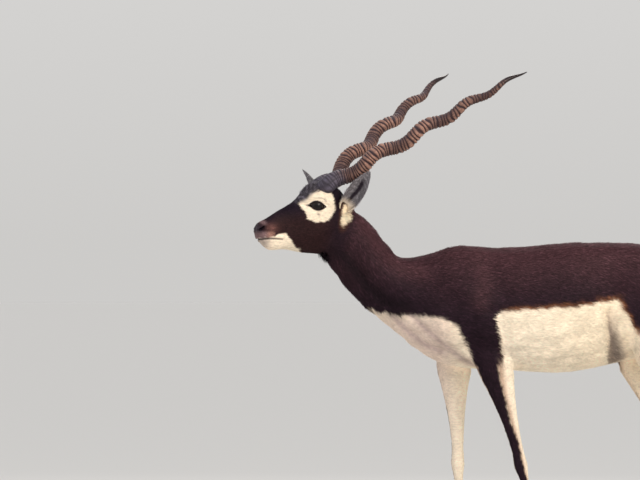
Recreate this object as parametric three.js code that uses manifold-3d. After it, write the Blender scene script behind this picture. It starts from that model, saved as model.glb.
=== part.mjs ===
// A life-size blackbuck buck that stands with one foreleg and one hind leg set back and its head
// turned to its left. Millimetres, +Z up. The animal faces -X, and +Y is its right side.
// Each mesh is one named part of the body: whole forms are joined first and then parted by thin cuts.
import * as THREE from "three";
import { mergeVertices } from "three/addons/utils/BufferGeometryUtils.js";
import Module from "manifold-3d";

const wasm = await Module();
wasm.setup();

const GAP = 0.3; // clearance between two pieces that meet
const HEAD_TURN = THREE.MathUtils.degToRad(25.3); // the head looks this far to the left
const HEAD_PLACE = new THREE.Vector3(-380, -28, 948); // midway between the roots of the horns

// Trunk and neck: each section runs from a point on the back [x, z] to one on the belly or throat.
// half is half the width, widest the share of the way down at which it lies, and crest and keel how
// square the upper and lower halves are (2 is an ellipse).
const TRUNK = [
  { name: "buttocks", back: [556, 690], belly: [549, 640], half: 18, widest: 0.5, crest: 2, keel: 2 },
  { name: "pin bones", back: [547, 735], belly: [536, 590], half: 52, widest: 0.5, crest: 1.9, keel: 2 },
  { name: "tail root", back: [519, 764], belly: [510, 566], half: 76, widest: 0.48, crest: 1.9, keel: 2.1 },
  { name: "croup", back: [470, 789], belly: [462, 541], half: 92, widest: 0.46, crest: 2, keel: 2.1 },
  { name: "hips", back: [404, 801], belly: [392, 522], half: 95, widest: 0.45, crest: 2.1, keel: 2.1 },
  { name: "flank", back: [319, 806], belly: [314, 504], half: 92, widest: 0.5, crest: 2.1, keel: 2.2 },
  { name: "belly", back: [233, 808], belly: [225, 487], half: 104, widest: 0.56, crest: 2, keel: 2.3 },
  { name: "barrel", back: [135, 798], belly: [135, 486], half: 110, widest: 0.58, crest: 1.9, keel: 2.3 },
  { name: "girth", back: [42, 795], belly: [42, 492], half: 103, widest: 0.58, crest: 1.8, keel: 2.2 },
  { name: "withers", back: [-49, 800], belly: [-39, 497], half: 93, widest: 0.58, crest: 1.7, keel: 2.1 },
  { name: "shoulders", back: [-105, 786], belly: [-113, 515], half: 86, widest: 0.58, crest: 1.7, keel: 2 },
  { name: "chest", back: [-158, 772], belly: [-174, 560], half: 74, widest: 0.56, crest: 1.8, keel: 2 },
  { name: "neck root", back: [-188, 770], belly: [-226, 599], half: 64, widest: 0.55, crest: 1.9, keel: 2 },
  { name: "low neck", back: [-208, 778], belly: [-267, 631], half: 59, widest: 0.54, crest: 1.9, keel: 2 },
  { name: "mid neck", back: [-234, 808], belly: [-303, 665], half: 57, widest: 0.52, crest: 1.9, keel: 2 },
  { name: "high neck", back: [-259, 841], belly: [-336, 702], half: 55, widest: 0.5, crest: 2, keel: 2 },
  { name: "nape", back: [-282, 866], belly: [-362, 738], half: 52, widest: 0.48, crest: 2, keel: 2 },
  { name: "poll", back: [-307, 884], belly: [-386, 772], half: 46, widest: 0.46, crest: 2, keel: 2 },
  { name: "under skull", back: [-334, 893], belly: [-398, 800], half: 34, widest: 0.46, crest: 2, keel: 2 },
];
// How far the middle of the neck lies to the left, where it turns with the head.
const NECK_BEND = { "mid neck": 3, "high neck": 7, nape: 12, poll: 17, "under skull": 20 };
const TRUNK_STEPS = 2; // rings from one section to the next
const TRUNK_POINTS = 26; // points round a ring

// Muscle and bone that stand out of the trunk on both sides: [x, distance from the middle, z],
// the reach along x, y and z, and the height. A hollow has a negative height.
const TRUNK_FORMS = [
  { name: "shoulder blade", at: [-52, 80, 690], reach: [46, 60, 92], height: 11 },
  { name: "upper arm", at: [-92, 80, 600], reach: [46, 60, 44], height: 12 },
  { name: "triceps", at: [8, 90, 612], reach: [50, 60, 52], height: 12 },
  { name: "breast", at: [-168, 30, 560], reach: [46, 30, 40], height: 8 },
  { name: "hollow before the hip", at: [300, 85, 722], reach: [52, 60, 44], height: -9 },
  { name: "hip bone", at: [386, 62, 782], reach: [26, 40, 24], height: 6 },
  { name: "hollow at the neck root", at: [-170, 62, 690], reach: [34, 50, 60], height: -6 },
];

// Head: upright sections across its length, in its own frame with the origin between the horns.
const HEAD = [
  { name: "nose tip", x: -187.5, top: -110, bottom: -122, half: 5, widest: 0.5, crest: 2, keel: 2 },
  { name: "nose front", x: -186, top: -101, bottom: -130.5, half: 12, widest: 0.45, crest: 2.2, keel: 2.1 },
  { name: "nose pad", x: -181, top: -96, bottom: -136, half: 16.5, widest: 0.45, crest: 2.2, keel: 2.1 },
  { name: "nostrils", x: -173, top: -90.5, bottom: -145, half: 19.5, widest: 0.42, crest: 2.3, keel: 2.2 },
  { name: "lips", x: -161, top: -84, bottom: -156, half: 20.5, widest: 0.5, crest: 2.1, keel: 2.2 },
  { name: "chin", x: -147, top: -76, bottom: -161.5, half: 21, widest: 0.5, crest: 2, keel: 2.2 },
  { name: "mouth ends", x: -124, top: -63, bottom: -160.5, half: 22, widest: 0.52, crest: 1.9, keel: 2.1 },
  { name: "cheek front", x: -102, top: -51.5, bottom: -163, half: 26, widest: 0.5, crest: 1.9, keel: 2 },
  { name: "cheeks", x: -78, top: -36, bottom: -167, half: 32, widest: 0.46, crest: 2, keel: 1.9 },
  { name: "eye front", x: -56, top: -13, bottom: -169.5, half: 37, widest: 0.38, crest: 2.2, keel: 1.8 },
  { name: "eyes", x: -34, top: -1, bottom: -170.5, half: 40, widest: 0.36, crest: 2.3, keel: 1.8 },
  { name: "brow", x: -12, top: 4, bottom: -171, half: 41, widest: 0.38, crest: 2.4, keel: 1.8 },
  { name: "horn roots", x: 10, top: 2, bottom: -168, half: 42, widest: 0.4, crest: 2.4, keel: 1.9 },
  { name: "ear roots", x: 32, top: -12, bottom: -160, half: 43, widest: 0.42, crest: 2.2, keel: 2 },
  { name: "crown", x: 54, top: -35, bottom: -146, half: 40, widest: 0.46, crest: 2.1, keel: 2 },
  { name: "skull back", x: 74, top: -58, bottom: -128, half: 28, widest: 0.5, crest: 2, keel: 2 },
];
const HEAD_STEPS = 2;
const HEAD_POINTS = 32;
const HEAD_FORMS = [
  { name: "brow ridge", at: [-32, 38, -36], reach: [22, 14, 9], height: 5.5 },
  { name: "forehead tuft", at: [-38, 8, -4], reach: [26, 14, 14], height: 3 },
  { name: "cheek muscle", at: [-34, 34, -112], reach: [34, 30, 30], height: 4.5 },
  { name: "cheek bone", at: [-62, 36, -78], reach: [26, 16, 12], height: 3.5 },
  { name: "tear gland pit", at: [-66, 30, -60], reach: [10, 14, 6], height: -3.5 },
  { name: "nostril wing", at: [-171, 17, -102], reach: [9, 9, 9], height: 2.6 },
  { name: "upper lip", at: [-152, 20, -126], reach: [24, 16, 8], height: 2.6 },
  { name: "lower lip", at: [-150, 18, -147], reach: [18, 16, 6], height: 2 },
  { name: "face side", at: [-112, 24, -92], reach: [24, 14, 20], height: -2.5 },
  { name: "jaw angle", at: [4, 32, -140], reach: [22, 26, 20], height: 4 },
];

// The eyes: lid is the thickness of the lids, long and tall the size of the opening between them, and
// arch how far the upper lid bows (1 is as far as the lower one).
const EYE = { x: -35, side: 26, z: -54, radius: 19, lid: 2.5, long: 37, tall: 21, arch: 1.08, depth: 40 };
const EYE_AHEAD = THREE.MathUtils.degToRad(18); // the eyes look this far forward of straight out
const EYE_TILT = THREE.MathUtils.degToRad(-6); // the rear corner lies a little lower
// lean and splay turn the slit of the nostril, in radians.
const NOSTRIL = { x: -176.5, side: 14.5, z: -108.5, long: 9, tall: 3.6, deep: 6, lean: -0.6, splay: 0.5 };
// z runs from the corner to the front, and past is how far the cut goes on beyond the lips.
const MOUTH = {
  corner: -122,
  front: -186,
  past: 12,
  cut: 1.5,
  deep: 4,
  wide: 80,
  z: [-135, -133.5, -135.5, -138],
};

// The horns: a straight line from root to tip that the core winds round like a corkscrew.
const HORN = {
  root: [-8, 26, -4], // x, distance from the middle of the head, z
  tip: [442, 217, 277],
  sunk: 0.04, // share of its length that goes into the skull
  coil: [9.2, 3.6], // distance of the core from its line, at root and tip
  settle: 0.08, // share of its length over which the coil opens
  turns: 3.566, // at an even pace
  quicken: 5.83, // further turning towards the tip, in radians
  radii: [21, 18.6, 16.8, 16.2, 15.4, 13.8, 11.8, 9.2, 7, 4.6, 0.9],
  radiiAt: [0, 0.1, 0.25, 0.4, 0.52, 0.62, 0.71, 0.79, 0.86, 0.93, 1],
  rings: 30,
  ringsEnd: 0.86,
  ridge: 0.075, // share of the radius that a ring stands out and a furrow goes in
  wear: 0.5, // share of that height which the last ring has lost
  smoothStops: [0, 0.25, 0.5, 0.75, 0.9, 1], // sections of the smooth end
  points: 9,
};

// The ears: a leaf rolled into a cup. Their roots, tips and the way the cups open, in the head's frame.
const EARS = {
  left: { root: [34, -36, -62], tip: [76, -97, 30], opens: [-0.35, -1, 0.1] },
  right: { root: [26, 37, -56], tip: [-12, 104, 36], opens: [-1, 0.35, -0.1] },
};
// Half the width of the leaf is its width times base at the root, more by swell half way and pinched
// at the tip. roll is half the angle that the cup spans at root and tip, in radians.
const EAR = {
  width: 24,
  base: 0.55,
  swell: 1.8,
  pinch: 0.985,
  roll: [2.3, 0.75],
  wall: 2.2,
  thinning: 0.5, // share of the wall that is lost towards the tip
  seat: 0.6, // how far the cup's middle lies in front of its line, in radii
  rings: 12,
  points: 9,
};

// Legs: sections along a line through the joints. at counts the joints from the top (1.5 is half way
// from the second to the third), deep and wide are half the depth and half the width, and shift is
// how far the flesh lies behind that line.
const FORELEG = [
  { at: 0.05, deep: 50, wide: 24, shift: 0 },
  { at: 0.5, deep: 58, wide: 34, shift: -4 },
  { at: 1, deep: 48, wide: 32, shift: -2 },
  { at: 1.2, deep: 36.5, wide: 26.5, shift: -2 },
  { at: 1.42, deep: 26, wide: 20.5, shift: -1 },
  { at: 1.62, deep: 19.5, wide: 16.5, shift: 0 },
  { at: 1.86, deep: 15.5, wide: 14.5, shift: 0 },
  { at: 2, deep: 18, wide: 17, shift: -1 },
  { at: 2.13, deep: 14, wide: 13.5, shift: 0 },
  { at: 2.3, deep: 11, wide: 10.5, shift: 0 },
  { at: 2.7, deep: 10.5, wide: 10, shift: 0 },
  { at: 3, deep: 15, wide: 14.5, shift: 1 },
  { at: 3.45, deep: 12.5, wide: 13.5, shift: 0 },
  { at: 4, deep: 18, wide: 18, shift: 0 },
];
const HINDLEG = [
  { at: 0, deep: 70, wide: 34, shift: 8 },
  { at: 0.35, deep: 98, wide: 45, shift: 2 },
  { at: 0.7, deep: 84, wide: 42, shift: 3 },
  { at: 1.02, deep: 64, wide: 35, shift: 12 },
  { at: 1.25, deep: 47, wide: 28, shift: 11 },
  { at: 1.48, deep: 32, wide: 21, shift: 7 },
  { at: 1.7, deep: 22, wide: 15.5, shift: 4 },
  { at: 1.88, deep: 19, wide: 14.5, shift: 3 },
  { at: 2, deep: 21, wide: 17.5, shift: 6 },
  { at: 2.12, deep: 17.5, wide: 15, shift: 3 },
  { at: 2.3, deep: 12.5, wide: 11.5, shift: 0 },
  { at: 2.7, deep: 11, wide: 10.5, shift: 0 },
  { at: 3, deep: 15.5, wide: 14.5, shift: 1 },
  { at: 3.45, deep: 13, wide: 13.5, shift: 0 },
  { at: 4, deep: 18, wide: 18, shift: 0 },
];
const LEG_STEPS = 2;
const LEG_POINTS = 12;
const LEG_BEND = 0.3; // share of a bone over which the sections turn from one bone to the next

// The joints of each leg from the top: [x, distance from the middle, z].
const LEGS = {
  left_foreleg: {
    side: -1,
    sections: FORELEG,
    joints: [[0, 50, 610], [38, 62, 505], [99, 57, 262], [138, 52, 78], [114, 51, 22]],
    parts: { forearm: [482, 262], cannon: [262, 92], pastern: [92, 0] },
  },
  right_foreleg: {
    side: 1,
    sections: FORELEG,
    joints: [[-26, 50, 610], [-60, 62, 508], [-52, 57, 262], [-48, 52, 78], [-72, 51, 22]],
    parts: { forearm: [482, 262], cannon: [262, 92], pastern: [92, 0] },
  },
  left_hindleg: {
    side: -1,
    sections: HINDLEG,
    joints: [[465, 52, 705], [428, 70, 522], [552, 54, 300], [586, 49, 78], [562, 48, 22]],
    parts: { shank: [440, 300], cannon: [300, 92], pastern: [92, 0] },
  },
  right_hindleg: {
    side: 1,
    sections: HINDLEG,
    joints: [[465, 52, 705], [376, 70, 524], [470, 54, 298], [462, 49, 78], [438, 48, 22]],
    parts: { shank: [440, 300], cannon: [300, 92], pastern: [92, 0] },
  },
};
// A thigh lies outside a slope that rises from the groin to the hip, behind the flank.
const THIGH = { flank: 300, groin: [14, 508], hip: [104, 690] };

// Hooves: two claws, flat below, each from its heel to its toe.
const CLAW = {
  top: 30,
  heel: 19,
  toe: [37, 17], // reach of the toe at the sole and at the top
  width: [15.5, 14.5],
  narrow: 0.35, // share of the width that is lost towards the toe
  cleft: 1.6,
  points: 14,
  layers: 3,
};
const DEWCLAW = { behind: 15, side: 9, below: 12, size: [5, 4.5, 8] };

const TAIL = {
  joints: [[522, 0, 750], [562, 0, 728], [577, 0, 672], [574, 0, 612], [571, 0, 588]],
  sections: [
    { at: 0, deep: 11, wide: 15, shift: 0 },
    { at: 1, deep: 11, wide: 17, shift: 0 },
    { at: 2, deep: 8.5, wide: 19, shift: 0 },
    { at: 3, deep: 7, wide: 14, shift: 0 },
    { at: 4, deep: 2, wide: 4, shift: 0 },
  ],
};

const COLOURS = {
  coat: { color: 0x2b1e19, roughness: 0.75, metalness: 0 },
  horn: { color: 0x5a4f45, roughness: 0.6, metalness: 0 },
  hoof: { color: 0x1d1a18, roughness: 0.45, metalness: 0 },
  eye: { color: 0x120c09, roughness: 0.08, metalness: 0 },
};

const CUT_BLOCK = 4000; // side of the block that a flat cut takes away
const MERGED = 1e-4; // points closer than this are one
const SHORT_WAY = 0.004; // share of a horn over which its direction is taken

const vector = (x, y, z) => new THREE.Vector3(x, y, z);
const ACROSS = vector(0, 1, 0);
const HEAD_MATRIX = new THREE.Matrix4().makeRotationZ(HEAD_TURN).setPosition(HEAD_PLACE);

// Solids

function signedVolume(points, faces) {
  let volume = 0;
  for (let i = 0; i < faces.length; i += 3) {
    const [a, b, c] = [points[faces[i]], points[faces[i + 1]], points[faces[i + 2]]];
    volume += a.dot(b.clone().cross(c)) / 6;
  }
  return volume;
}

function solidOf(points, faces) {
  const inward = signedVolume(points, faces) < 0;
  const triVerts = new Uint32Array(inward ? faces.slice().reverse() : faces);
  const vertProperties = new Float32Array(points.flatMap((point) => point.toArray()));
  return new wasm.Manifold(new wasm.Mesh({ numProp: 3, vertProperties, triVerts }));
}

function solidFrom(geometry) {
  const bare = geometry.clone();
  bare.deleteAttribute("normal");
  bare.deleteAttribute("uv");
  const merged = mergeVertices(bare, MERGED);
  const place = merged.getAttribute("position");
  const points = Array.from({ length: place.count }, (_, i) => vector().fromBufferAttribute(place, i));
  return solidOf(points, Array.from(merged.index.array));
}

// A closed solid through rings of equally many points, with a point in the middle of each end.
function solidThrough(rings) {
  const count = rings[0].length;
  const points = rings.flat();
  const faces = [];
  for (let ring = 0; ring < rings.length - 1; ring++) {
    for (let i = 0; i < count; i++) {
      const here = ring * count + i;
      const next = ring * count + ((i + 1) % count);
      faces.push(here, next, next + count, here, next + count, here + count);
    }
  }
  for (const [start, turn] of [[0, -1], [(rings.length - 1) * count, 1]]) {
    const middle = vector(0, 0, 0);
    for (let i = 0; i < count; i++) middle.addScaledVector(points[start + i], 1 / count);
    points.push(middle);
    for (let i = 0; i < count; i++) {
      const pair = [start + i, start + ((i + 1) % count)];
      faces.push(points.length - 1, ...(turn > 0 ? pair : pair.reverse()));
    }
  }
  return solidOf(points, faces);
}

function largestOf(solid) {
  return solid.decompose().reduce((most, piece) => (piece.volume() > most.volume() ? piece : most));
}

// The part of space on the side of a flat cut that its normal points to.
function beyond(point, normal, inset) {
  const block = new THREE.BoxGeometry(CUT_BLOCK, CUT_BLOCK, CUT_BLOCK);
  const turn = new THREE.Quaternion().setFromUnitVectors(vector(0, 0, 1), normal);
  block.translate(0, 0, CUT_BLOCK / 2 + inset);
  block.applyQuaternion(turn);
  block.translate(point.x, point.y, point.z);
  return solidFrom(block);
}

function allOf(planes, inset) {
  const halves = planes.map(([point, normal]) => beyond(point, normal, inset));
  return halves.reduce((all, one) => all.intersect(one));
}

// Sections

function catmullRom([a, b, c, d], t) {
  const slope = (c - a) * t;
  const curve = (2 * a - 5 * b + 4 * c - d) * t * t;
  const twist = (3 * b - a - 3 * c + d) * t * t * t;
  return 0.5 * (2 * b + slope + curve + twist);
}

function mixed(values, t) {
  if (Array.isArray(values[0])) {
    return values[0].map((_, i) => catmullRom(values.map((value) => value[i]), t));
  }
  return typeof values[0] === "number" ? catmullRom(values, t) : values[1];
}

function smoothed(sections, steps) {
  const last = sections.length - 1;
  const all = [];
  for (let i = 0; i < last; i++) {
    const four = [i - 1, i, i + 1, i + 2].map((n) => sections[THREE.MathUtils.clamp(n, 0, last)]);
    for (let step = 0; step < steps; step++) {
      const pairs = Object.keys(sections[i]).map((key) => {
        return [key, mixed(four.map((section) => section[key]), step / steps)];
      });
      all.push(Object.fromEntries(pairs));
    }
  }
  all.push(sections[last]);
  return all;
}

function rise(point, middle, forms) {
  return forms.reduce((sum, { at, reach, height }) => {
    const x = (point.x - at[0]) / reach[0];
    const y = (Math.abs(point.y - middle.y) - at[1]) / reach[1];
    const z = (point.z - at[2]) / reach[2];
    return sum + height * Math.exp(-(x * x + y * y + z * z));
  }, 0);
}

// An upright section of the trunk or the head, with the forms that stand out of it.
function uprightRing({ back, belly, half, widest, crest, keel, bend }, count, forms, grow) {
  const top = vector(back[0], bend, back[1]);
  const low = vector(belly[0], bend, belly[1]);
  const up = top.clone().sub(low).normalize();
  const middle = top.clone().lerp(low, widest);
  return Array.from({ length: count }, (_, i) => {
    const angle = (2 * Math.PI * i) / count;
    const [c, s] = [Math.cos(angle), Math.sin(angle)];
    const power = 2 / (s > 0 ? crest : keel);
    const height = s > 0 ? top.distanceTo(middle) : low.distanceTo(middle);
    const point = middle.clone();
    point.addScaledVector(ACROSS, Math.sign(c) * Math.abs(c) ** power * half);
    point.addScaledVector(up, Math.sign(s) * Math.abs(s) ** power * height);
    const outward = point.clone().sub(middle).normalize();
    return point.addScaledVector(outward, rise(point, middle, forms) + grow);
  });
}

function pointAlong(joints, at) {
  const first = THREE.MathUtils.clamp(Math.floor(at), 0, joints.length - 2);
  return joints[first].clone().lerp(joints[first + 1], at - first);
}

function limbRing(joints, { at, deep, wide, shift }, count, grow) {
  const place = pointAlong(joints, at);
  const ahead = pointAlong(joints, Math.min(at + LEG_BEND, joints.length - 1));
  const down = ahead.sub(pointAlong(joints, Math.max(at - LEG_BEND, 0))).normalize();
  const rear = down.cross(ACROSS).normalize();
  return Array.from({ length: count }, (_, i) => {
    const angle = (2 * Math.PI * i) / count;
    const point = place.clone().addScaledVector(rear, shift + (deep + grow) * Math.cos(angle));
    return point.addScaledVector(ACROSS, (wide + grow) * Math.sin(angle));
  });
}

// Trunk, head and legs, whole

function trunk(grow) {
  const bent = TRUNK.map((section) => ({ ...section, bend: -(NECK_BEND[section.name] ?? 0) }));
  const sections = smoothed(bent, TRUNK_STEPS);
  return solidThrough(sections.map((s) => uprightRing(s, TRUNK_POINTS, TRUNK_FORMS, grow)));
}

function skull(grow) {
  const upright = HEAD.map(({ x, top, bottom, ...rest }) => {
    return { ...rest, back: [x, top], belly: [x, bottom], bend: 0 };
  });
  const rings = smoothed(upright, HEAD_STEPS).map((s) => uprightRing(s, HEAD_POINTS, HEAD_FORMS, grow));
  return solidThrough(rings.map((ring) => ring.map((point) => point.applyMatrix4(HEAD_MATRIX))));
}

function limb(joints, sections, side, steps, count) {
  const line = joints.map(([x, y, z]) => vector(x, y * side, z));
  return solidThrough(smoothed(sections, steps).map((s) => limbRing(line, s, count, 0)));
}

// The face

function eyeMatrix(side) {
  const look = vector(-Math.sin(EYE_AHEAD), side * Math.cos(EYE_AHEAD), 0);
  const along = vector(0, 0, 1).cross(look).multiplyScalar(-side).normalize();
  const turn = new THREE.Matrix4().makeBasis(along, look.clone().cross(along), look);
  turn.multiply(new THREE.Matrix4().makeRotationZ(-side * EYE_TILT));
  return turn.setPosition(EYE.x, side * EYE.side, EYE.z).premultiply(HEAD_MATRIX);
}

function eyeball(side, radius) {
  return solidFrom(new THREE.IcosahedronGeometry(radius, 3).applyMatrix4(eyeMatrix(side)));
}

// The opening between the lids: two arcs that meet in the corners of the eye, pushed outwards.
function lidOpening(side) {
  const corner = EYE.long / 2;
  const upper = -side * EYE.tall * EYE.arch;
  const lower = -side * EYE.tall * (EYE.arch - 2);
  const shape = new THREE.Shape();
  shape.moveTo(-corner, 0);
  shape.quadraticCurveTo(0, upper, corner, 0);
  shape.quadraticCurveTo(0, lower, -corner, 0);
  const options = { depth: EYE.depth, bevelEnabled: false, curveSegments: 6 };
  return solidFrom(new THREE.ExtrudeGeometry(shape, options).applyMatrix4(eyeMatrix(side)));
}

function nostril(side) {
  const pit = new THREE.IcosahedronGeometry(1, 1);
  pit.scale(NOSTRIL.long, NOSTRIL.deep, NOSTRIL.tall);
  pit.rotateY(NOSTRIL.lean);
  pit.rotateZ(-side * NOSTRIL.splay);
  pit.translate(NOSTRIL.x, side * NOSTRIL.side, NOSTRIL.z);
  return solidFrom(pit.applyMatrix4(HEAD_MATRIX));
}

// The line of the mouth: a groove round the muzzle from corner to corner.
function mouthGroove() {
  const step = (MOUTH.front - MOUTH.past - MOUTH.corner) / (MOUTH.z.length - 1);
  const middle = MOUTH.z.map((z, i) => new THREE.Vector2(MOUTH.corner + i * step, z));
  const shape = new THREE.Shape();
  shape.setFromPoints([
    ...middle.map((point) => point.clone().add(new THREE.Vector2(0, MOUTH.cut / 2))),
    ...middle.reverse().map((point) => point.clone().add(new THREE.Vector2(0, -MOUTH.cut / 2))),
  ]);
  const band = new THREE.ExtrudeGeometry(shape, { depth: MOUTH.wide, bevelEnabled: false });
  band.translate(0, 0, -MOUTH.wide / 2);
  band.rotateX(Math.PI / 2);
  return solidFrom(band.applyMatrix4(HEAD_MATRIX)).subtract(skull(-MOUTH.deep));
}

function wholeHead() {
  let head = skull(0);
  for (const side of [-1, 1]) head = head.add(eyeball(side, EYE.radius + EYE.lid));
  for (const side of [-1, 1]) {
    head = head.subtract(lidOpening(side)).subtract(eyeball(side, EYE.radius + GAP)).subtract(nostril(side));
  }
  return head.subtract(mouthGroove());
}

// Horns

function hornLine(side, t) {
  const root = vector(HORN.root[0], side * HORN.root[1], HORN.root[2]);
  const along = vector(HORN.tip[0], side * HORN.tip[1], HORN.tip[2]).sub(root);
  const toward = along.clone().normalize();
  const up = vector(0, 0, 1).addScaledVector(toward, -toward.z).normalize();
  const outward = toward.clone().cross(up);
  const coil = THREE.MathUtils.lerp(...HORN.coil, t) * Math.min(t / HORN.settle, 1);
  const angle = 2 * Math.PI * HORN.turns * t + HORN.quicken * t * t;
  const point = root.addScaledVector(along, t);
  point.addScaledVector(up, coil * Math.cos(angle));
  return point.addScaledVector(outward, side * coil * Math.sin(angle));
}

function hornRadius(t) {
  const next = Math.max(HORN.radiiAt.findIndex((at) => at >= t), 1);
  const share = (t - HORN.radiiAt[next - 1]) / (HORN.radiiAt[next] - HORN.radiiAt[next - 1]);
  return THREE.MathUtils.lerp(HORN.radii[next - 1], HORN.radii[next], share);
}

function horn(side) {
  const stops = [[-HORN.sunk, 0]];
  for (let i = 0; i < HORN.rings * 2; i++) {
    const t = (i / (HORN.rings * 2)) * HORN.ringsEnd;
    const fade = 1 - HORN.wear * (t / HORN.ringsEnd) ** 3;
    stops.push([t, (i % 2 ? 1 : -1) * HORN.ridge * fade]);
  }
  for (const share of HORN.smoothStops) stops.push([THREE.MathUtils.lerp(HORN.ringsEnd, 1, share), 0]);
  const rings = stops.map(([t, ridge]) => {
    const place = hornLine(side, t);
    const ahead = hornLine(side, t + SHORT_WAY).sub(hornLine(side, t - SHORT_WAY)).normalize();
    const up = vector(0, 0, 1).addScaledVector(ahead, -ahead.z).normalize();
    const across = ahead.clone().cross(up);
    const radius = hornRadius(Math.max(t, 0)) * (1 + ridge);
    return Array.from({ length: HORN.points }, (_, i) => {
      const angle = (2 * Math.PI * i) / HORN.points;
      const point = place.clone().addScaledVector(up, radius * Math.cos(angle));
      return point.addScaledVector(across, radius * Math.sin(angle)).applyMatrix4(HEAD_MATRIX);
    });
  });
  return solidThrough(rings);
}

// Ears: a rolled leaf with an outer and an inner face

function ear({ root, tip, opens }) {
  const from = vector(...root);
  const along = vector(...tip).sub(from);
  const length = along.length();
  const lengthwise = along.clone().normalize();
  const front = vector(...opens);
  front.addScaledVector(lengthwise, -front.dot(lengthwise)).normalize();
  const across = lengthwise.clone().cross(front);
  const rings = [];
  for (let ring = 0; ring < EAR.rings; ring++) {
    const t = ring / (EAR.rings - 1);
    const leaf = EAR.base + EAR.swell * t * (1 - t);
    const half = EAR.width * leaf * Math.sqrt(1 - EAR.pinch * t ** 3);
    const roll = THREE.MathUtils.lerp(...EAR.roll, Math.sqrt(t));
    const radius = half / Math.sin(Math.min(roll, Math.PI / 2));
    const wall = EAR.wall * (1 - EAR.thinning * t);
    const centre = from.clone().addScaledVector(lengthwise, t * length);
    centre.addScaledVector(front, radius * EAR.seat);
    const arc = (size) => Array.from({ length: EAR.points }, (_, i) => {
      const angle = roll * ((2 * i) / (EAR.points - 1) - 1);
      const point = centre.clone().addScaledVector(front, -size * Math.cos(angle));
      return point.addScaledVector(across, size * Math.sin(angle)).applyMatrix4(HEAD_MATRIX);
    });
    rings.push([...arc(radius), ...arc(Math.max(radius - wall, 0.2)).reverse()]);
  }
  return solidOfSheet(rings);
}

// Rings whose second half lies against the first: both halves are split into triangles alike.
function solidOfSheet(rings) {
  const count = rings[0].length;
  const half = count / 2;
  const points = rings.flat();
  const faces = [];
  for (let ring = 0; ring < rings.length - 1; ring++) {
    for (let i = 0; i < count; i++) {
      const here = ring * count + i;
      const next = ring * count + ((i + 1) % count);
      const mirrored = i >= half;
      if (mirrored) faces.push(here, next, here + count, next, next + count, here + count);
      else faces.push(here, next, next + count, here, next + count, here + count);
    }
  }
  for (const [start, turn] of [[0, -1], [(rings.length - 1) * count, 1]]) {
    for (let i = 0; i < half - 1; i++) {
      const quad = [start + i, start + i + 1, start + count - 2 - i, start + count - 1 - i];
      const [a, b, c, d] = turn > 0 ? quad : quad.reverse();
      faces.push(a, b, c, a, c, d);
    }
  }
  return solidOf(points, faces);
}

// Feet

function claw(foot, side) {
  const rings = [];
  for (let layer = 0; layer <= CLAW.layers; layer++) {
    const t = layer / CLAW.layers;
    const toe = THREE.MathUtils.lerp(...CLAW.toe, t);
    const width = THREE.MathUtils.lerp(...CLAW.width, t);
    rings.push(Array.from({ length: CLAW.points }, (_, i) => {
      const angle = (2 * Math.PI * i) / CLAW.points;
      const [c, s] = [Math.cos(angle), Math.sin(angle)];
      const x = c > 0 ? c * CLAW.heel : c * toe;
      const narrow = c > 0 ? 1 : 1 - CLAW.narrow * c * c;
      const y = CLAW.cleft / 2 + (width * (1 + narrow * s)) / 2;
      return vector(foot.x + x, foot.y + side * y, CLAW.top * t);
    }));
  }
  return solidThrough(rings);
}

function dewclaws(fetlock) {
  return [-1, 1].map((side) => {
    const nub = new THREE.IcosahedronGeometry(1, 1);
    nub.scale(...DEWCLAW.size);
    nub.translate(fetlock.x + DEWCLAW.behind, fetlock.y + side * DEWCLAW.side, fetlock.z - DEWCLAW.below);
    return solidFrom(nub);
  });
}

// The whole animal in its parts

const group = new THREE.Group();

function add(name, solid, colour) {
  const mesh = largestOf(solid).getMesh();
  const geometry = new THREE.BufferGeometry();
  geometry.setAttribute("position", new THREE.BufferAttribute(new Float32Array(mesh.vertProperties), 3));
  geometry.setIndex(new THREE.BufferAttribute(new Uint32Array(mesh.triVerts), 1));
  geometry.computeBoundingBox();
  const centre = geometry.boundingBox.getCenter(vector(0, 0, 0)).round();
  geometry.translate(-centre.x, -centre.y, -centre.z);
  geometry.computeVertexNormals();
  const part = new THREE.Mesh(geometry, new THREE.MeshStandardMaterial(COLOURS[colour]));
  part.name = name;
  part.position.copy(centre);
  group.add(part);
}

function level(height, up) {
  return [vector(0, 0, height), vector(0, 0, up ? 1 : -1)];
}

function thighPlanes(side) {
  const [groin, hip] = [THIGH.groin, THIGH.hip];
  const slope = vector(0, side * (hip[1] - groin[1]), -(hip[0] - groin[0])).normalize();
  return [[vector(0, side * groin[0], groin[1]), slope], [vector(THIGH.flank, 0, 0), vector(1, 0, 0)]];
}

// The plane of a section of the trunk, facing on towards the head.
function sectionPlane(name) {
  const { back, belly } = TRUNK.find((section) => section.name === name);
  const point = vector((back[0] + belly[0]) / 2, 0, (back[1] + belly[1]) / 2);
  const normal = vector(-(back[1] - belly[1]), 0, back[0] - belly[0]).normalize();
  return [point, normal];
}

function opposite([point, normal]) {
  return [point, normal.clone().negate()];
}

let body = trunk(0).add(wholeHead());
for (const { joints, sections, side } of Object.values(LEGS)) {
  body = body.add(limb(joints, sections, side, LEG_STEPS, LEG_POINTS));
}

const headPlane = sectionPlane("poll");
const neckPlane = sectionPlane("neck root");
const headPart = body.intersect(allOf([headPlane], GAP / 2));
const neckPart = body.intersect(allOf([neckPlane, opposite(headPlane)], GAP / 2));
const upright = allOf([opposite(neckPlane), level(LEGS.left_foreleg.parts.forearm[0], true)], GAP / 2);
let torso = body.intersect(upright);
for (const side of [-1, 1]) torso = torso.subtract(allOf(thighPlanes(side), -GAP / 2));

add("torso", torso, "coat");
add("neck", neckPart, "coat");
add("head", headPart, "coat");
add("tail", limb(TAIL.joints, TAIL.sections, 1, 3, 12).subtract(trunk(GAP)), "coat");

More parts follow.
